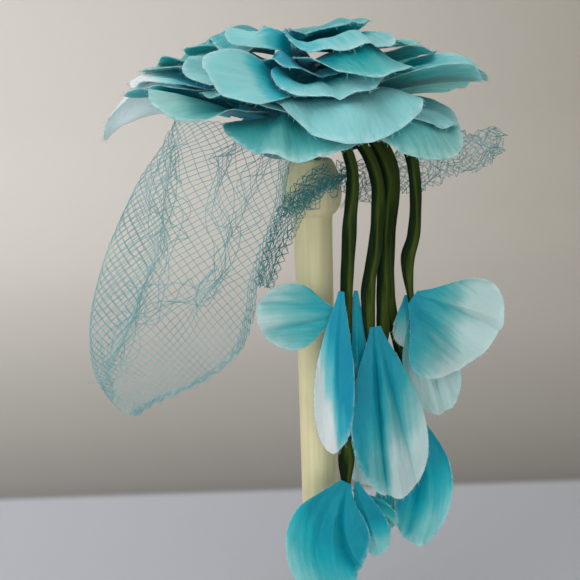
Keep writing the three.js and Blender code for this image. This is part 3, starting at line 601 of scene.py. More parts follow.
def settle_fine(grid, pile, half, gap):
    """Raises a thin petal clear of the thin petals under it, smoothly, and adds it to the pile."""
    for _ in range(14):
        under = grid - grid_normals(grid) * half
        raised = np.zeros(grid.shape[:2])
        for shares, at in fine_samples(under):
            short = pile.under(at[..., 0], at[..., 1]) + gap - at[..., 2]
            short = np.maximum(short, 0) / sum(w * w for w in shares)
            for view, w in zip((np.s_[:-1, :-1], np.s_[:-1, 1:], np.s_[1:, :-1], np.s_[1:, 1:]), shares):
                raised[view] = np.maximum(raised[view], short * w)
        if raised.max() < 0.02:
            break
        for _ in range(7):
            raised = spread_raise(raised, 0.86)
        grid[..., 2] += raised
    over = grid + grid_normals(grid) * half
    for _, at in fine_samples(over):
        pile.lay(at[..., 0].ravel(), at[..., 1].ravel(), at[..., 2].ravel())
    return grid


def cubic_shares(place, count):
    """Indices and shares of a smooth curve through count values, at places along them."""
    k = np.clip(np.floor(place).astype(int), 0, count - 2)
    t = place - k
    shares = (-0.5 * t + t * t - 0.5 * t ** 3, 1 - 2.5 * t * t + 1.5 * t ** 3,
              0.5 * t + 2 * t * t - 1.5 * t ** 3, -0.5 * t * t + 0.5 * t ** 3)
    index = [np.clip(k + n, 0, count - 1) for n in (-1, 0, 1, 2)]
    return index, shares


def smoothed(values, rows, columns):
    """Values of a coarse grid at fine rows and columns."""
    index, shares = cubic_shares(rows, values.shape[0])
    part = sum(values[i] * w[:, None] for i, w in zip(index, shares))
    index, shares = cubic_shares(columns, values.shape[1])
    return sum(part[:, i] * w[None, :] for i, w in zip(index, shares))


def petal_object(name, grid, u, v, p, sizes, finishes):
    """A petal's thin satin wall from its middle surface in millimetres."""
    normals = grid_normals(grid)
    half = sizes.satin / MM / 2
    rows, columns = u.shape
    points = np.concatenate(((grid + normals * half).reshape(-1, 3), (grid - normals * half).reshape(-1, 3)))
    share = u / p["length"]
    across = v / (p["width"] / 2)
    dye = (share + p["lean"] * across - p["deep"]) / (p["pale"] - p["deep"])
    # The fold term is painted shade in the folds' valleys and a painted highlight on their ridges.
    dye = dye + 0.12 * across ** 2 + painted_fold_shade(p, share, across)
    rim = np.zeros_like(share)
    rim[-1], rim[-2] = 1.0, 0.35
    marks = {"dye": np.tile(np.clip(dye, -0.2, 1.2).ravel(), 2), "rim": np.tile(rim.ravel(), 2)}
    cut = np.tile(np.stack((u.ravel(), v.ravel()), 1) * MM, (2, 1))
    made = cloth_mesh(name, points, wall_faces(rows, columns), marks, cut)
    made.data.materials.append(finishes[p["dye"]])
    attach(made, "root")
    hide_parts(name)
    width, length, area = cut_size(grid, u, v)
    ["flower_base"] if name.startswith("petal") else [stem_of(name)]
    return made, frayed_rim(grid, normals, p["phase"] + length, sizes)


def painted_fold_shade(p, share, across):
    """Painted shade in the valleys of a petal's folds and a painted highlight on their ridges, as a shift of the dye
    share.
    """
    tone = np.zeros_like(share)
    for place, height, spread in p["folds"]:
        lean = place * np.minimum(1, 0.15 + share)
        tone += p["painted_fold_shade_strength"] * height * np.exp(-((across - lean) / spread) ** 2) * np.minimum(1, 3 * share)
    return tone


def frayed_rim(grid, normals, seed, sizes):
    """Short loose threads that stand out of a petal's cut edge, as paths in millimetres."""
    rim = np.concatenate((grid[3:, 0], grid[-1, 1:-1], grid[:2:-1, -1]))
    inner = np.concatenate((grid[3:, 1], grid[-2, 1:-1], grid[:2:-1, -2]))
    facing = np.concatenate((normals[3:, 0], normals[-1, 1:-1], normals[:2:-1, -1]))
    length = np.concatenate(((0,), np.cumsum(np.linalg.norm(np.diff(rim, axis=0), axis=1))))
    paths = []
    for k in range(int(length[-1] * sizes.fray_threads)):
        shift = noise.noise_vector(Vector((k * 1.37, seed, 0.3)))
        at = np.clip(np.searchsorted(length, (k + shift.x) / sizes.fray_threads), 1, len(rim) - 1)
        share = 0.5 + 0.5 * shift.y
        start = rim[at - 1] * (1 - share) + rim[at] * share
        out = rim[at] - inner[at]
        out = out / max(np.linalg.norm(out), 1e-6)
        along = rim[at] - rim[at - 1]
        along = along / max(np.linalg.norm(along), 1e-6)
        reach = sizes.fray_length / MM * (0.3 + 1.4 * abs(shift.z))
        steps = np.linspace(-0.3, 1, 4)[:, None]
        lean = along * 1.6 * shift.x + facing[at] * 1.2 * shift.y
        path = start + reach * (steps * out + lean * np.maximum(steps, 0) ** 2)
        paths.append((path, np.tile(facing[at], (4, 1))))
    return paths


def frayed_object(name, paths, material):
    points, faces = tubes(paths, 0.08, 3)
    made = cloth_mesh(name, points, faces, crease=180)
    made.data.materials.append(material)
    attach(made, "root")
    return made


def loose_thread():
    """Pale dyed silk thread of the frayed rims."""
    material, tree, shader = finish("frayed_thread", 0.6, Sheen_Weight=0.2)
    body = add(tree, "TexCoord").outputs["Object"]
    tone = mixed(tree, grain(tree, body, 60.0, 2.0), (*linear("58b0b6"), 1.0), (*linear("c4e4e3"), 1.0))
    tree.links.new(tone, shader.inputs["Base Color"])
    tree.links.new(grain(tree, body, 800.0, 2.0, 0.5, 0.75), shader.inputs["Roughness"])
    relief(tree, shader, grain(tree, body, 5000.0, 2.0), 0.00005, 0.5)
    return material


def own_folds(index):
    """Two or three soft folds that fan out over a petal, the same for the same petal."""
    spread = [noise.noise(Vector((index * 3.7, k * 5.3, 0.5))) for k in range(9)]
    return tuple((0.9 * spread[3 * k] + 0.45 * (k - 1), 0.06 * math.copysign(1, spread[3 * k + 1])
                  * (0.4 + abs(spread[3 * k + 1])), 0.13 + 0.1 * abs(spread[3 * k + 2])) for k in range(3))


def cells_area(grid):
    down, along = np.diff(grid, axis=0), np.diff(grid, axis=1)
    return float(np.linalg.norm(np.cross(down[:, :-1], along[:-1]), axis=2).sum())


def cut_size(grid, u, v):
    """Width, length and area of a petal's cut in millimetres: its pattern's, with what its folds take up."""
    area = cells_area(grid)
    eased = math.sqrt(area / cells_area(np.stack((u, v, 0 * u), 2)))
    return eased * float(v.max() - v.min()), eased * float(u.max() - u.min()), area


def stem_of(name):
    return {"a": "stem_1", "b": "stem_5", "c": "stem_1", "d": "stem_2", "e": "stem_4"}[name.split("_")[1]]


def fine_lines(sizes):
    """Where the fine grid's rows and columns lie along and across a petal."""
    along = (np.linspace(0, 1, sizes.petal_rows + 1)) ** 0.8
    across = np.sin(np.linspace(-1, 1, sizes.petal_columns + 1) * math.pi / 2)
    across = 0.55 * across + 0.45 * np.linspace(-1, 1, sizes.petal_columns + 1)
    return along, across


def placed(grid, heading, claw):
    cos, sin = math.cos(heading), math.sin(heading)
    turned = np.stack((grid[..., 0] * cos - grid[..., 1] * sin, grid[..., 0] * sin + grid[..., 1] * cos,
                       grid[..., 2]), -1)
    return turned + np.array(claw)


def smooth_path(points, count):
    """Points at even distances along a smooth curve through points, and its directions there."""
    points = [np.array(p, float) for p in points]
    dense = []
    last = len(points) - 1
    for step in np.linspace(0, last, last * 40 + 1):
        k = min(int(step), last - 1)
        t = step - k
        p1, p2 = points[k], points[k + 1]
        p0 = points[k - 1] if k > 0 else 2 * p1 - p2
        p3 = points[k + 2] if k + 2 <= last else 2 * p2 - p1
        d0, d1, d2 = (max(float(((b - a) ** 2).sum()) ** 0.25, 1e-4) for a, b in ((p0, p1), (p1, p2), (p2, p3)))
        m1 = ((p1 - p0) / d0 - (p2 - p0) / (d0 + d1) + (p2 - p1) / d1) * d1
        m2 = ((p2 - p1) / d1 - (p3 - p1) / (d1 + d2) + (p3 - p2) / d2) * d1
        dense.append(p1 + m1 * t + (-3 * p1 + 3 * p2 - 2 * m1 - m2) * t * t
                     + (2 * p1 - 2 * p2 + m1 + m2) * t ** 3)
    dense = np.array(dense)
    length = np.concatenate(((0,), np.cumsum(np.linalg.norm(np.diff(dense, axis=0), axis=1))))
    at = np.linspace(0, length[-1], count)
    path = np.stack([np.interp(at, length, dense[:, k]) for k in range(3)], 1)
    ways = np.gradient(path, axis=0)
    return path, ways / np.linalg.norm(ways, axis=1, keepdims=True), at


def stem_object(number, sizes, finish_of):
    """A flat covered stem with a groove along it, narrowed and swollen as STEM_WIDTHS says."""
    steps, sides = 110, 24
    path, ways, at = smooth_path(STEM_PATHS[number], steps + 1)
    across = np.cross(ways, (0, 1, 0))
    across /= np.linalg.norm(across, axis=1, keepdims=True)
    out = np.cross(across, ways)
    share = at / at[-1]
    places, widths = zip(*STEM_WIDTHS[number])
    swell = np.interp(share, places, widths)
    swell = np.convolve(np.pad(swell, 4, mode="edge"), np.ones(9) / 9, mode="valid")
    wobble = np.array([noise.noise(Vector((a * 0.09, number * 7.0, 0))) for a in at]) * 0.10
    width = sizes.stem_width / MM / 2 * (swell + wobble)
    depth = sizes.stem_depth / MM / 2 * (0.7 + 0.3 * swell)
    angle = np.linspace(0, 2 * math.pi, sides, endpoint=False)
    groove = 1 - 0.42 * np.exp(-((np.cos(angle) - 0.15) / 0.3) ** 2)
    rings = (path[:, None] + across[:, None] * (width[:, None] * np.cos(angle))[..., None]
             + out[:, None] * (depth[:, None] * np.sin(angle) * groove)[..., None])
    points = rings.reshape(-1, 3)
    faces = []
    for k in range(steps):
        for n in range(sides):
            a, b = k * sides + n, k * sides + (n + 1) % sides
            faces.append((a, a + sides, b + sides, b))
    faces.append(tuple(range(sides)))
    faces.append(tuple(reversed(range(steps * sides, (steps + 1) * sides))))
    # Place round the stem that sets where the velvet's painted shade and painted highlight fall.
    painted_light_band = np.tile(0.5 + 0.5 * np.cos(angle), steps + 1)
    cut = np.stack((np.repeat(at, sides), np.tile(np.sin(angle) * 2 + np.cos(angle) * 3, steps + 1)), 1) * MM
    made = cloth_mesh(f"stem_{number + 1}", points, faces, {"painted_light_band": painted_light_band}, cut)
    made.data.materials.append(finish_of)
    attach(made, "root")
    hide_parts(f"stem_{number + 1}")
    return made


def tubes(paths, radius, sides=4):
    """Open thin tubes along paths of points, each with the direction that faces out of the cloth there."""
    points, faces, start = [], [], 0
    for path, facing in paths:
        if len(path) < 2:
            continue
        ways = np.gradient(path, axis=0)
        ways /= np.maximum(np.linalg.norm(ways, axis=1, keepdims=True), 1e-9)
        aside = np.cross(ways, facing)
        aside /= np.maximum(np.linalg.norm(aside, axis=1, keepdims=True), 1e-9)
        up = np.cross(aside, ways)
        for n in range(sides):
            angle = 2 * math.pi * n / sides
            points.append(path + radius * (aside * math.cos(angle) + up * math.sin(angle)))
        count = len(path)
        for k in range(count - 1):
            for n in range(sides):
                a, b = start + n * count + k, start + ((n + 1) % sides) * count + k
                faces.append((a, b, b + 1, a + 1))
        start += sides * count
    return np.concatenate(points), faces


def net_lines(surface, width, length, pitch, inside=None):
    """The slanting threads of a diamond net over surface(u, v), width by length, crossing each other."""
    step = pitch / math.sqrt(2)
    columns, rows = int(width / step), int(length / step)
    lines = []
    for slant in (1, -1):
        for first in range(-rows - columns, rows + columns + 1, 2):
            m = np.arange(rows + 1)
            n = first + slant * m
            keep = (n >= 0) & (n <= columns)
            if keep.sum() > 1:
                lines.append((n[keep] * width / columns, m[keep] * length / rows))
    paths = []
    for u, v in lines:
        if inside is not None:
            good = inside(u, v)
            runs = np.split(np.arange(len(u)), np.flatnonzero(np.diff(good.astype(int))) + 1)
            runs = [run for run in runs if good[run[0]] and len(run) > 1]
        else:
            runs = [np.arange(len(u))]
        for run in runs:
            paths.append(surface(u[run], v[run]))
    return paths


def net_object(name, paths, radius, material, replaced):
    points, faces = tubes(paths, radius)
    made = cloth_mesh(name, points, faces, crease=180)
    made.data.materials.append(material)
    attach(made, "root")
    if replaced:
        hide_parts(replaced)
    return made


def row_values(share, column):
    """A smooth value of the net's rows at shares of its length."""
    values = np.array(NET_ROWS, float)[:, column][:, None]
    index, shares = cubic_shares(np.asarray(share) * (len(NET_ROWS) - 1), len(NET_ROWS))
    return sum(values[i, 0] * w for i, w in zip(index, shares))


def drawn_in(x, z, y, front):
    """Draws the net towards its bunches, where it also folds forward."""
    for line, strength, reach, fold in BUNCHES:
        line = np.array(line, float)
        length = np.concatenate(((0,), np.cumsum(np.linalg.norm(np.diff(line, axis=0), axis=1))))
        at = np.linspace(0, length[-1], 80)
        dense = np.stack([np.interp(at, length, line[:, k]) for k in range(2)], 1)
        away = np.stack((x, z), -1)[..., None, :] - dense
        gap = np.linalg.norm(away, axis=-1)
        near = gap.argmin(-1)
        gap = gap.min(-1)
        pull = strength * np.exp(-(gap / reach) ** 2) * front
        x = x + (dense[near, 0] - x) * pull
        z = z + (dense[near, 1] - z) * pull
        y = y - fold * np.exp(-(gap / (0.35 * reach)) ** 2) * front
    return x, z, y


def veil_surface():
    """The folded net as a table of points, its rows down the fold, its columns by the distance round from it."""
    rows, fine = 160, 241
    share = np.linspace(0, 1, rows)
    angle = np.linspace(0, math.pi, fine)
    height, sag, fold, front, back, depth = (row_values(share, k)[:, None] for k in range(6))
    facing = np.cos(angle)[None, :]
    edge = np.where(facing > 0, front, back)
    outward = np.abs(facing) ** 1.5
    x = fold + (edge - fold) * outward
    y = NET_MIDDLE - depth * np.sign(facing) * np.abs(facing) ** 0.5
    y = y + 0.9 * np.minimum(1, share[:, None] * 4.5) * np.sin(angle) * np.sin(5 * angle + share[:, None] * 4.5)
    z = height - sag * outward
    points = np.stack((x, y, z), 2)
    run = np.cumsum(np.linalg.norm(np.diff(points, axis=1), axis=2), axis=1)
    run = np.concatenate((np.zeros((rows, 1)), run), axis=1)
    run -= run[:, [fine // 2]]
    widest = max(-run.min(), run.max())
    places = np.linspace(-widest, widest, 361)
    table = np.stack([np.stack([np.interp(places, run[i], points[i, :, k]) for k in range(3)], 1)
                      for i in range(rows)])
    return table, places, run[:, 0], run[:, -1]


def at_table(table, u, v):
    """Points of a table at fractional columns u and rows v, and which way the cloth faces there."""
    rows, columns = table.shape[:2]
    u = np.clip(u, 0, columns - 1.001)
    v = np.clip(v, 0, rows - 1.001)
    i, j = v.astype(int), u.astype(int)
    a, b = (v - i)[:, None], (u - j)[:, None]
    points = ((1 - a) * ((1 - b) * table[i, j] + b * table[i, j + 1])
              + a * ((1 - b) * table[i + 1, j] + b * table[i + 1, j + 1]))
    down, along = table[i + 1, j] - table[i, j], table[i, j + 1] - table[i, j]
    facing = np.cross(down, along)
    size = np.linalg.norm(facing, axis=1, keepdims=True)
    facing = np.where(size > 1e-6, facing / np.maximum(size, 1e-9), np.array([[0, -1.0, 0]]))
    return points, facing


def jitter(points, amount, seed):
    """Small unevenness, the same for the same place."""
    moved = [noise.noise_vector(Vector(tuple(p * 0.35)) + Vector((seed, 0, 0))) * amount for p in points]
    return points + np.array([tuple(m) for m in moved])


class FascinatorSizes(bpy.types.PropertyGroup):
    satin: bpy.props.FloatProperty(
        name="Satin", description="Thickness of a petal's satin", default=0.0004, min=0.0001, max=0.001,
        unit="LENGTH", precision=5)
    petal_rows: bpy.props.IntProperty(
        name="Petal rows", description="Grid rows from a petal's claw to its rim", default=20, min=6, max=40)
    petal_columns: bpy.props.IntProperty(
        name="Petal columns", description="Grid columns across a petal", default=44, min=10, max=80)
    fray: bpy.props.FloatProperty(
        name="Fray", description="Unevenness of a petal's cut edge, as a share of its length", default=0.012,
        min=0.001, max=0.05)
    fray_threads: bpy.props.FloatProperty(
        name="Frayed threads", description="Loose threads along a petal's cut edge, for each millimetre of it",
        default=0.55, min=0.0, max=2.0)
    fray_length: bpy.props.FloatProperty(
        name="Fray length", description="Usual length of a loose thread", default=0.0022, min=0.0002, max=0.005,
        unit="LENGTH", precision=4)
    crease: bpy.props.FloatProperty(
        name="Creases", description="Height of a petal's soft creases, in millimetres", default=1.1, min=0.0,
        max=3.0)
    stem_width: bpy.props.FloatProperty(
        name="Stem width", description="Width of a covered stem", default=0.0068, min=0.003, max=0.01,
        unit="LENGTH", precision=4)
    stem_depth: bpy.props.FloatProperty(
        name="Stem depth", description="Depth of a covered stem", default=0.0026, min=0.001, max=0.006,
        unit="LENGTH", precision=4)
    mesh_pitch: bpy.props.FloatProperty(
        name="Mesh pitch", description="Distance between the net's threads", default=0.0029, min=0.002,
        max=0.01, unit="LENGTH", precision=4)
    thread: bpy.props.FloatProperty(
        name="Thread", description="Thickness of the net's thread", default=0.00034, min=0.0002, max=0.001,
        unit="LENGTH", precision=5)


class FascinatorColours(bpy.types.PropertyGroup):
    stem_deep: bpy.props.FloatVectorProperty(
        name="Stem", description="Main green of the stems", subtype="COLOR", size=3, min=0, max=1,
        default=linear("0a2404"))
    # Colour of the painted highlight band along the stems.
    stem_painted_highlight: bpy.props.FloatVectorProperty(
        name="Stem nap", description="Lighter green along the stems", subtype="COLOR", size=3, min=0, max=1,
        default=linear("46561a"))
    net: bpy.props.FloatVectorProperty(
        name="Net", description="Main colour of the net's thread", subtype="COLOR", size=3, min=0, max=1,
        default=linear("5fb0b6"))
    net_pale: bpy.props.FloatVectorProperty(
        name="Pale net", description="Colour of the net's thread where the dye is thin", subtype="COLOR", size=3,
        min=0, max=1, default=linear("a4d2d3"))
    net_deep: bpy.props.FloatVectorProperty(
        name="Deep net", description="Colour of the bunched net", subtype="COLOR", size=3, min=0, max=1,
        default=linear("127f86"))
    paint: bpy.props.FloatVectorProperty(
        name="Paint", description="Cream paint of the stand", subtype="COLOR", size=3, min=0, max=1,
        default=linear("fdf3c2"))
    worn_paint: bpy.props.FloatVectorProperty(
        name="Worn paint", description="Paint where the stand is worn", subtype="COLOR", size=3, min=0, max=1,
        default=linear("c9b47c"))
    padding: bpy.props.FloatVectorProperty(
        name="Felt", description="Felt of the padded base", subtype="COLOR", size=3, min=0, max=1,
        default=linear("0a8494"))
    floor: bpy.props.FloatVectorProperty(
        name="Floor", description="Floor under the stand", subtype="COLOR", size=3, min=0, max=1,
        default=linear("c5c9d3"))
    backdrop: bpy.props.FloatVectorProperty(
        name="Backdrop", description="Backdrop round the floor", subtype="COLOR", size=3, min=0, max=1,
        default=linear("efebe6"))


def settings():
    scene = bpy.context.scene
    return scene.fascinator_sizes, scene.fascinator_colours


class FASCINATOR_OT_stand(bpy.types.Operator):
    """Turned foot and post with its knob, in worn cream paint"""

    bl_idname = "fascinator.stand"
    bl_label = "Stand"

    def execute(self, context):
        _, colours = settings()
        paint = painted_wood("cream_paint", tuple(colours.paint), tuple(colours.worn_paint))
        radius, height = FOOT_BOX[1].x / MM, FOOT_BOX[1].z / MM
        foot = turned_mesh("stand_foot_dressed", rounded(
            [(0, 0), (radius - 1, 0), (radius, 1), (radius, height - 3), (radius - 3, height), (0, height)]), 128)
        low, top = POST_BOX[0].z / MM, POST_BOX[1].z / MM
        neck = top - 29.6
        post = turned_mesh("stand_post_dressed", rounded([
            (0, low), (10, low), (10, neck), (11.5, neck + 0.5), (14.3, neck + 4), (15.5, neck + 9),
            (15.5, neck + 17), (13.7, neck + 23), (11, top - 1), (9, top), (0, top)]), 96)
        for made, node in ((foot, "stand_foot"), (post, "stand_post")):
            made.data.materials.append(paint)
            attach(made, "root")
            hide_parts(node)
        return {"FINISHED"}


class FASCINATOR_OT_base(bpy.types.Operator):
    """Padded felt base under the rose"""

    bl_idname = "fascinator.base"
    bl_label = "Padded base"

    def execute(self, context):
        _, colours = settings()
        seat = BASE_BOX[0].z / MM
        profile = [(0, seat), (14, seat), (31, seat + 12)]
        profile += [(radius - 0.2 if radius else 0, seat + height - 0.2) for radius, height in DOME]
        base = turned_mesh("flower_base_dressed", rounded(profile), 72)
        base.data.transform(Matrix.Translation((ROSE_X * MM, 0, 0)))
        base.data.materials.append(felt(tuple(colours.padding)))
        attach(base, "root")
        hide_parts("flower_base")
        return {"FINISHED"}


SATINS = {}


def satins():
    _, colours = settings()
    if not SATINS:
        SATINS.update({family: satin(family, colours) for family in DYES})
    return SATINS


class FASCINATOR_OT_rose(bpy.types.Operator):
    """Thin satin petals of the rose, laid on each other from the lowest up"""

    bl_idname = "fascinator.rose"
    bl_label = "Rose"

    def execute(self, context):
        noise.seed_set(NOISE_SEED)
        sizes, _ = settings()
        rough_rows = (np.arange(5) / 4) ** 0.85
        rough_columns = np.arange(8) / 3.5 - 1
        along, across = fine_lines(sizes)
        rough, fine = Pile(), Pile()
        threads = []
        names = ("azimuth", "seat", "length", "width", "lift", "bend", "cup", "twist", "lip", "side", "wave",
                 "turn", "roll", "dye", "deep", "pale", "lean")
        for index, values in enumerate(ROSE_PETALS):
            p = dict(zip(names, values), phase=index * 1.7, crease=sizes.crease, fan=64, fullness=0.98, blunt=0.5,
                     folds=own_folds(index), wrap=0.0, frill=0.12, painted_fold_shade_strength=1.2)
            azimuth = math.radians(p["azimuth"])
            heading = math.radians(p["azimuth"] + p["turn"])
            claw = (p["seat"] * math.cos(azimuth), p["seat"] * math.sin(azimuth), 0)
            coarse, _, _ = petal_grid(p, rough_rows, rough_columns)
            moved = settle_rough(placed(coarse, heading, claw), rough)
            grid, u, v = petal_grid(p, along, across, sizes.fray)
            grid = placed(grid, heading, claw)
            grid[..., 2] += smoothed(moved, along ** (1 / 0.85) * 4, (across + 1) * 3.5)
            grid = settle_fine(grid, fine, sizes.satin / MM / 2, 0.15)
            _, frayed = petal_object(f"petal_{index + 1:02d}", grid + (ROSE_X, 0, BASE_Z), u, v, p, sizes, satins())
            threads += frayed
        frayed_object("rose_frayed_threads", threads, loose_thread())
        return {"FINISHED"}


class FASCINATOR_OT_blossoms(bpy.types.Operator):
    """Satin petals of the loose blossoms at the stems' ends"""

    bl_idname = "fascinator.blossoms"
    bl_label = "Blossoms"

    def execute(self, context):
        noise.seed_set(NOISE_SEED)
        sizes, _ = settings()
        along, across = fine_lines(sizes)
        names = ("heading", "lift", "bend", "roll", "length", "width", "cup", "twist", "side", "fan",
                 "dye", "deep", "pale", "lean")
        threads = []
        for name, (claw, values, dye, folds) in BLOSSOM_PETALS.items():
            p = dict(zip(names, (*values, *dye)), lip=0, wave=1, phase=int(name[-1]) - 1, folds=folds,
                     crease=0.8 * sizes.crease, blunt=BLOSSOM_BLUNT, wrap=0.3, frill=0.45, painted_fold_shade_strength=2.6)
            p["fullness"] = fullness(p["fan"], p["blunt"])
            grid, u, v = petal_grid(p, along, across, sizes.fray)
            grid = placed(grid, math.radians(p["heading"]), claw)
            threads += petal_object(name, grid, u, v, p, sizes, satins())[1]
        frayed_object("blossom_frayed_threads", threads, loose_thread())
        return {"FINISHED"}


class FASCINATOR_OT_stems(bpy.types.Operator):
    """Flat velvet-covered wire stems"""

    bl_idname = "fascinator.stems"
    bl_label = "Stems"

    def execute(self, context):
        sizes, colours = settings()
        cover = velvet(colours)
        for number in range(len(STEM_PATHS)):
            stem_object(number, sizes, cover)
        return {"FINISHED"}


class FASCINATOR_OT_net(bpy.types.Operator):
    """Net veil of knotted threads: the fold, the bunched strand and the short end on the right"""

    bl_idname = "fascinator.net"
    bl_label = "Net veil"

    def execute(self, context):
        noise.seed_set(NOISE_SEED)
        sizes, colours = settings()
        pitch, radius = sizes.mesh_pitch / MM, sizes.thread / MM / 2
        thread = netting("net_thread", tuple(colours.net), tuple(colours.net_pale))
        deep = netting("bunched_net_thread", tuple(colours.net_deep), tuple(colours.net))
        veil, area = self.fold(pitch, radius, thread)
        gather = self.gather(pitch, radius, deep)
        crumpled = netting("crumpled_net_thread", tuple(colours.net_deep), tuple(colours.net_pale))
        ruffle, flat = self.ruffle(pitch, radius, crumpled)
        return {"FINISHED"}

    def fold(self, pitch, radius, thread):
        table, places, front, back = veil_surface()
        rows = table.shape[0]
        span = places[-1] - places[0]
        is_front = (places < 0).astype(float)[None, :] * np.ones((rows, 1))
        x, z, y = drawn_in(table[..., 0], table[..., 2], table[..., 1], is_front)
        table = np.stack((x, y, z), 2)
        length = 158.0
        line = np.array(BUNCHES[0][0], float)

        def surface(u, v):
            points, facing = at_table(table, u / span * 360, v / length * (rows - 1))
            return jitter(points, 0.35, 3.0), facing

        def inside(u, v):
            row = np.clip(v / length * (rows - 1), 0, rows - 1)
            place = u - span / 2
            ends = np.arange(rows)
            good = (place > np.interp(row, ends, front)) & (place < np.interp(row, ends, back))
            points, _ = at_table(table, u / span * 360, row)
            edge = np.interp(-points[:, 2], -line[:, 1], line[:, 0]) + 3
            return good & ((place < 0) | (points[:, 0] < edge))

        paths = net_lines(surface, span, length, pitch, inside)
        area = 0.0
        for i in range(0, rows, 4):
            u = np.arange(0, span, 1.0)
            area += inside(u, np.full(len(u), i * length / (rows - 1))).sum() * 4 * length / (rows - 1)
        for number, (line, strength, reach, _) in enumerate(BUNCHES):
            for strand in range(int(8 * strength)):
                paths.append(self.strand(line, 0.95 * reach, number * 40.0 + strand, table, places))
        for offset in (0.0, 0.7, 1.5, 2.4, 3.4, 4.4):
            v = np.linspace(1, length - 2, 150)
            u = np.interp(v / length * (rows - 1), np.arange(rows), front) + span / 2 + 0.6 + offset
            points, facing = surface(u, v)
            zigzag = np.sin(v * (1.5 + 0.07 * offset) + offset * 3) * np.minimum(1, v / 50)
            points = points + facing * (1.6 * zigzag)[:, None]
            points[:, 2] += 1.3 * np.sin(v * (1.1 + 0.09 * offset) + 5 * offset) * np.minimum(1, v / 50)
            paths.append((points, facing))
        made = net_object("veil_net", paths, radius, thread, "veil")
        return made, min(area * MM * MM, 0.17 * 0.15)

    def strand(self, line, reach, seed, table, places):
        """One thread of a bunch: it wanders along the bunch on the front of the net."""
        path, _, at = smooth_path([(x, 0, z) for x, z in line], 70)
        drift = np.array([noise.noise_vector(Vector((a * 0.045, seed, 3.0))) for a in at])
        x, z = path[:, 0] + reach * 2.2 * drift[:, 0], path[:, 2] + reach * 2.2 * drift[:, 2]
        front = table[:, places < 0]
        near = [np.unravel_index(((front[..., 0] - a) ** 2 + (front[..., 2] - b) ** 2).argmin(), front.shape[:2])
                for a, b in zip(x, z)]
        y = np.array([front[i, j, 1] for i, j in near])
        y = np.convolve(np.pad(y, 4, mode="edge"), np.ones(9) / 9, mode="valid") + 0.8 * drift[:, 1]
        return np.stack((x, y, z), 1), np.tile((0.0, -1.0, 0.0), (len(x), 1))

    def gather(self, pitch, radius, thread):
        path, ways, at = smooth_path(GATHER_PATH, 60)
        across = np.cross(ways, (0, 1, 0))
        across /= np.linalg.norm(across, axis=1, keepdims=True)
        out = np.cross(across, ways)
        angle = np.linspace(0, 2 * math.pi, 121)
        share = (at / at[-1])[:, None]
        width = (11 + 6 * share) / 2
        pleats = 0.62 + 0.38 * np.sin(6 * angle + 3 * share) * np.sin(2 * angle + 1)
        rings = (path[:, None] + across[:, None] * (width * pleats * np.cos(angle))[..., None]
                 + out[:, None] * (0.55 * width * pleats * np.sin(angle))[..., None])

        def surface(u, v):
            points, facing = at_table(rings, u / 60 * 120, v / at[-1] * 59)
            return jitter(points, 0.8, 9.0), facing

        paths = net_lines(surface, 60, at[-1], pitch * 1.15)
        paths += [self.curl(number) for number in range(46)]
        return net_object("veil_gather_net", paths, radius, thread, "veil_gather")

    def curl(self, number):
        """A loose curl of dark thread where the net is knotted in front of the knob."""
        share = np.linspace(0, 1, 40)
        place = noise.noise_vector(Vector((number * 7.3, 2.1, 0.4)))
        along = (number % 23) / 22
        middle = np.array((-15 + 34 * along, -21.5 + 1.5 * place.y, 268 + 15 * along + 9 * place.z))
        lean = noise.noise_vector(Vector((number * 3.1, 8.2, 1.7)))
        angle = (1.3 + 1.6 * abs(lean.x)) * 2 * math.pi * share + 9 * lean.y
        size = (1.6 + 3.6 * abs(lean.z)) * (1 - 0.45 * share)
        path = middle + np.stack((size * np.cos(angle) + 5 * lean.x * share, 1.3 * np.sin(angle * 0.7 + number),
                                  size * np.sin(angle) + 5 * lean.z * share), 1)
        return jitter(path, 0.9, number * 1.0), np.tile((0.0, -1.0, 0.0), (len(path), 1))

    def ruffle(self, pitch, radius, thread):
        edges = np.array(RUFFLE_EDGES, float)
        share = np.linspace(0, 1, 90)
        place = share * (len(edges) - 1)
        x, top, bottom = (np.interp(place, np.arange(len(edges)), edges[:, k]) for k in range(3))
        turn = np.linspace(0, 1, 61)
        level = 1 - np.abs(2 * turn - 1)
        layer = np.sign(turn - 0.5) * np.minimum(1, np.abs(turn - 0.5) * 12)
        wave = 3.2 * share * np.sin(2 * math.pi * 3.2 * share)
        table = np.stack([np.stack((
            x[k] + 1.7 * np.sin(9 * turn + 14 * share[k]) + 1.1 * np.sin(23 * turn - 31 * share[k]),
            -8 + wave[k] + layer * (1.2 + 0.8 * math.sin(17 * share[k])) + 1.6 * np.sin(14 * turn + 9 * share[k]),
            bottom[k] + (top[k] - bottom[k]) * level + 1.1 * np.sin(21 * share[k])
            + 1.3 * np.sin(17 * turn + 27 * share[k])), 1) for k in range(90)])
        width, length = 44.0, 92.0

        def surface(u, v):
            points, facing = at_table(table, u / width * 60, v / length * 89)
            return jitter(points, 1.9, 21.0), facing

        paths = net_lines(surface, width, length, pitch * 0.8)
        return net_object("veil_right_net", paths, radius, thread, "veil_right"), (width * MM, length * MM)


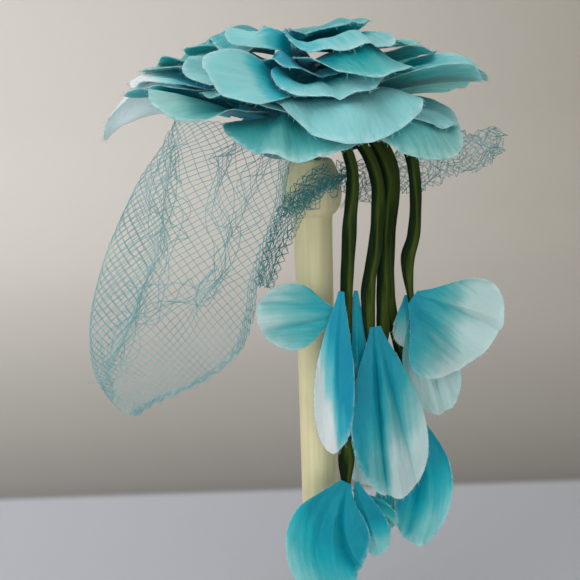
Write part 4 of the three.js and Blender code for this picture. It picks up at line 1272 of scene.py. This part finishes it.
class FASCINATOR_OT_stage(bpy.types.Operator):
    """Pale floor and backdrop with painted shade, soft lights and the camera"""

    bl_idname = "fascinator.stage"
    bl_label = "Stage"

    def execute(self, context):
        _, colours = settings()
        scene = bpy.context.scene
        scene.view_settings.view_transform = "Standard"
        profile = [(0, -0.001), (600, 0), (1200, 0), (1500, 60), (1700, 260), (1780, 600), (1800, 1400)]
        sides = 96
        points, faces = [(0, 0, 0)], []
        for radius, height in profile[1:]:
            points += [(radius * math.cos(2 * math.pi * n / sides), radius * math.sin(2 * math.pi * n / sides),
                        height) for n in range(sides)]
        faces = [(0, 1 + n, 1 + (n + 1) % sides) for n in range(sides)]
        for k in range(len(profile) - 2):
            for n in range(sides):
                a, b = 1 + k * sides + n, 1 + k * sides + (n + 1) % sides
                faces.append((a, a + sides, b + sides, b))
        floor = cloth_mesh("floor", points, faces, crease=180)
        material, tree, shader = finish("floor_paper_painted_shade", 0.9)
        body = add(tree, "TexCoord").outputs["Object"]
        depth = add(tree, "SeparateXYZ", None, {0: body}).outputs[1]
        edge = add(tree, "MapRange", {"interpolation_type": "SMOOTHSTEP"},
                   {0: depth, 1: 0.212, 2: 0.228, 3: 0.0, 4: 1.0}).outputs[0]
        # Painted shade: the backdrop is darkest just past the floor's edge and grows lighter with distance.
        far = add(tree, "MapRange", None, {0: depth, 1: 0.22, 2: 1.8, 3: 0.0, 4: 1.0}).outputs[0]
        wall = ramp(tree, far, [(place, tuple(c * share for c in colours.backdrop)) for place, share in (
            (0.0, 0.3), (0.02, 0.37), (0.1, 0.5), (0.3, 0.72), (0.62, 0.95), (1.0, 1.12))])
        tone = mixed(tree, edge, (*colours.floor, 1.0), wall)
        # Painted light falloff: floor and backdrop are painted darker from left to right.
        aside = add(tree, "SeparateXYZ", None, {0: body}).outputs[0]
        span = add(tree, "MapRange", None, {0: aside, 1: -0.7, 2: 0.7, 3: 0.0, 4: 1.0}).outputs[0]
        shade = ramp(tree, span, ((0.0, (1.0, 1.0, 1.0)), (1.0, (0.53, 0.52, 0.48))))
        tone = mixed(tree, 1.0, tone, shade, "MULTIPLY")
        tree.links.new(tone, shader.inputs["Base Color"])
        floor.data.materials.append(material)

        world = bpy.data.worlds.new("soft_room")
        world.use_nodes = True
        world.node_tree.nodes["Background"].inputs["Color"].default_value = (1.0, 0.985, 0.965, 1.0)
        world.node_tree.nodes["Background"].inputs["Strength"].default_value = 1.0
        scene.world = world
        for name, place, power, size in (
                ("key_light", (-0.8, -0.8, 0.8), 4.2, 0.8),
                ("fill_light", (0.2, -1.2, 0.15), 6.0, 1.0),
                ("back_light", (-0.2, 0.5, 1.2), 0.8, 0.9)):
            lamp = bpy.data.lights.new(name, "AREA")
            lamp.energy, lamp.size = power, size
            made = bpy.data.objects.new(name, lamp)
            made.location = place
            made.rotation_euler = (Vector((0, 0, 0.27)) - Vector(place)).to_track_quat("-Z", "Y").to_euler()
            scene.collection.objects.link(made)

        lens = bpy.data.cameras.new("camera")
        lens.sensor_width = 36.0
        lens.lens = 900 / 580 * 36
        camera = bpy.data.objects.new("camera", lens)
        camera.location = (-0.0131, -0.468, 0.330)
        tilt = Euler((math.radians(90 - 13.1), 0, 0)).to_matrix()
        roll = Euler((0, 0, math.radians(-1.9))).to_matrix()
        camera.rotation_euler = (tilt @ roll).to_euler()
        scene.collection.objects.link(camera)
        scene.camera = camera
        return {"FINISHED"}


class FASCINATOR_PT_panel(bpy.types.Panel):
    bl_label = "Flower Fascinator"
    bl_idname = "FASCINATOR_PT_panel"
    bl_space_type = "VIEW_3D"
    bl_region_type = "UI"
    bl_category = "Fascinator"

    def draw(self, context):
        for group in (context.scene.fascinator_sizes, context.scene.fascinator_colours):
            for name in group.bl_rna.properties.keys():
                if name not in ("rna_type", "name"):
                    self.layout.prop(group, name)
        for kind in OPERATORS:
            self.layout.operator(kind.bl_idname)


OPERATORS = (
    FASCINATOR_OT_stand,
    FASCINATOR_OT_base,
    FASCINATOR_OT_rose,
    FASCINATOR_OT_blossoms,
    FASCINATOR_OT_stems,
    FASCINATOR_OT_net,
    FASCINATOR_OT_stage,
)
CLASSES = (FascinatorSizes, FascinatorColours, *OPERATORS, FASCINATOR_PT_panel)


def register():
    for kind in CLASSES:
        bpy.utils.register_class(kind)
    bpy.types.Scene.fascinator_sizes = bpy.props.PointerProperty(type=FascinatorSizes)
    bpy.types.Scene.fascinator_colours = bpy.props.PointerProperty(type=FascinatorColours)


def unregister():
    del bpy.types.Scene.fascinator_sizes
    del bpy.types.Scene.fascinator_colours
    for kind in reversed(CLASSES):
        bpy.utils.unregister_class(kind)


def main():
    register()
    bpy.ops.fascinator.stand()
    bpy.ops.fascinator.base()
    bpy.ops.fascinator.rose()
    bpy.ops.fascinator.blossoms()
    bpy.ops.fascinator.stems()
    bpy.ops.fascinator.net()
    bpy.ops.fascinator.stage()


if __name__ == "__main__":
    main()
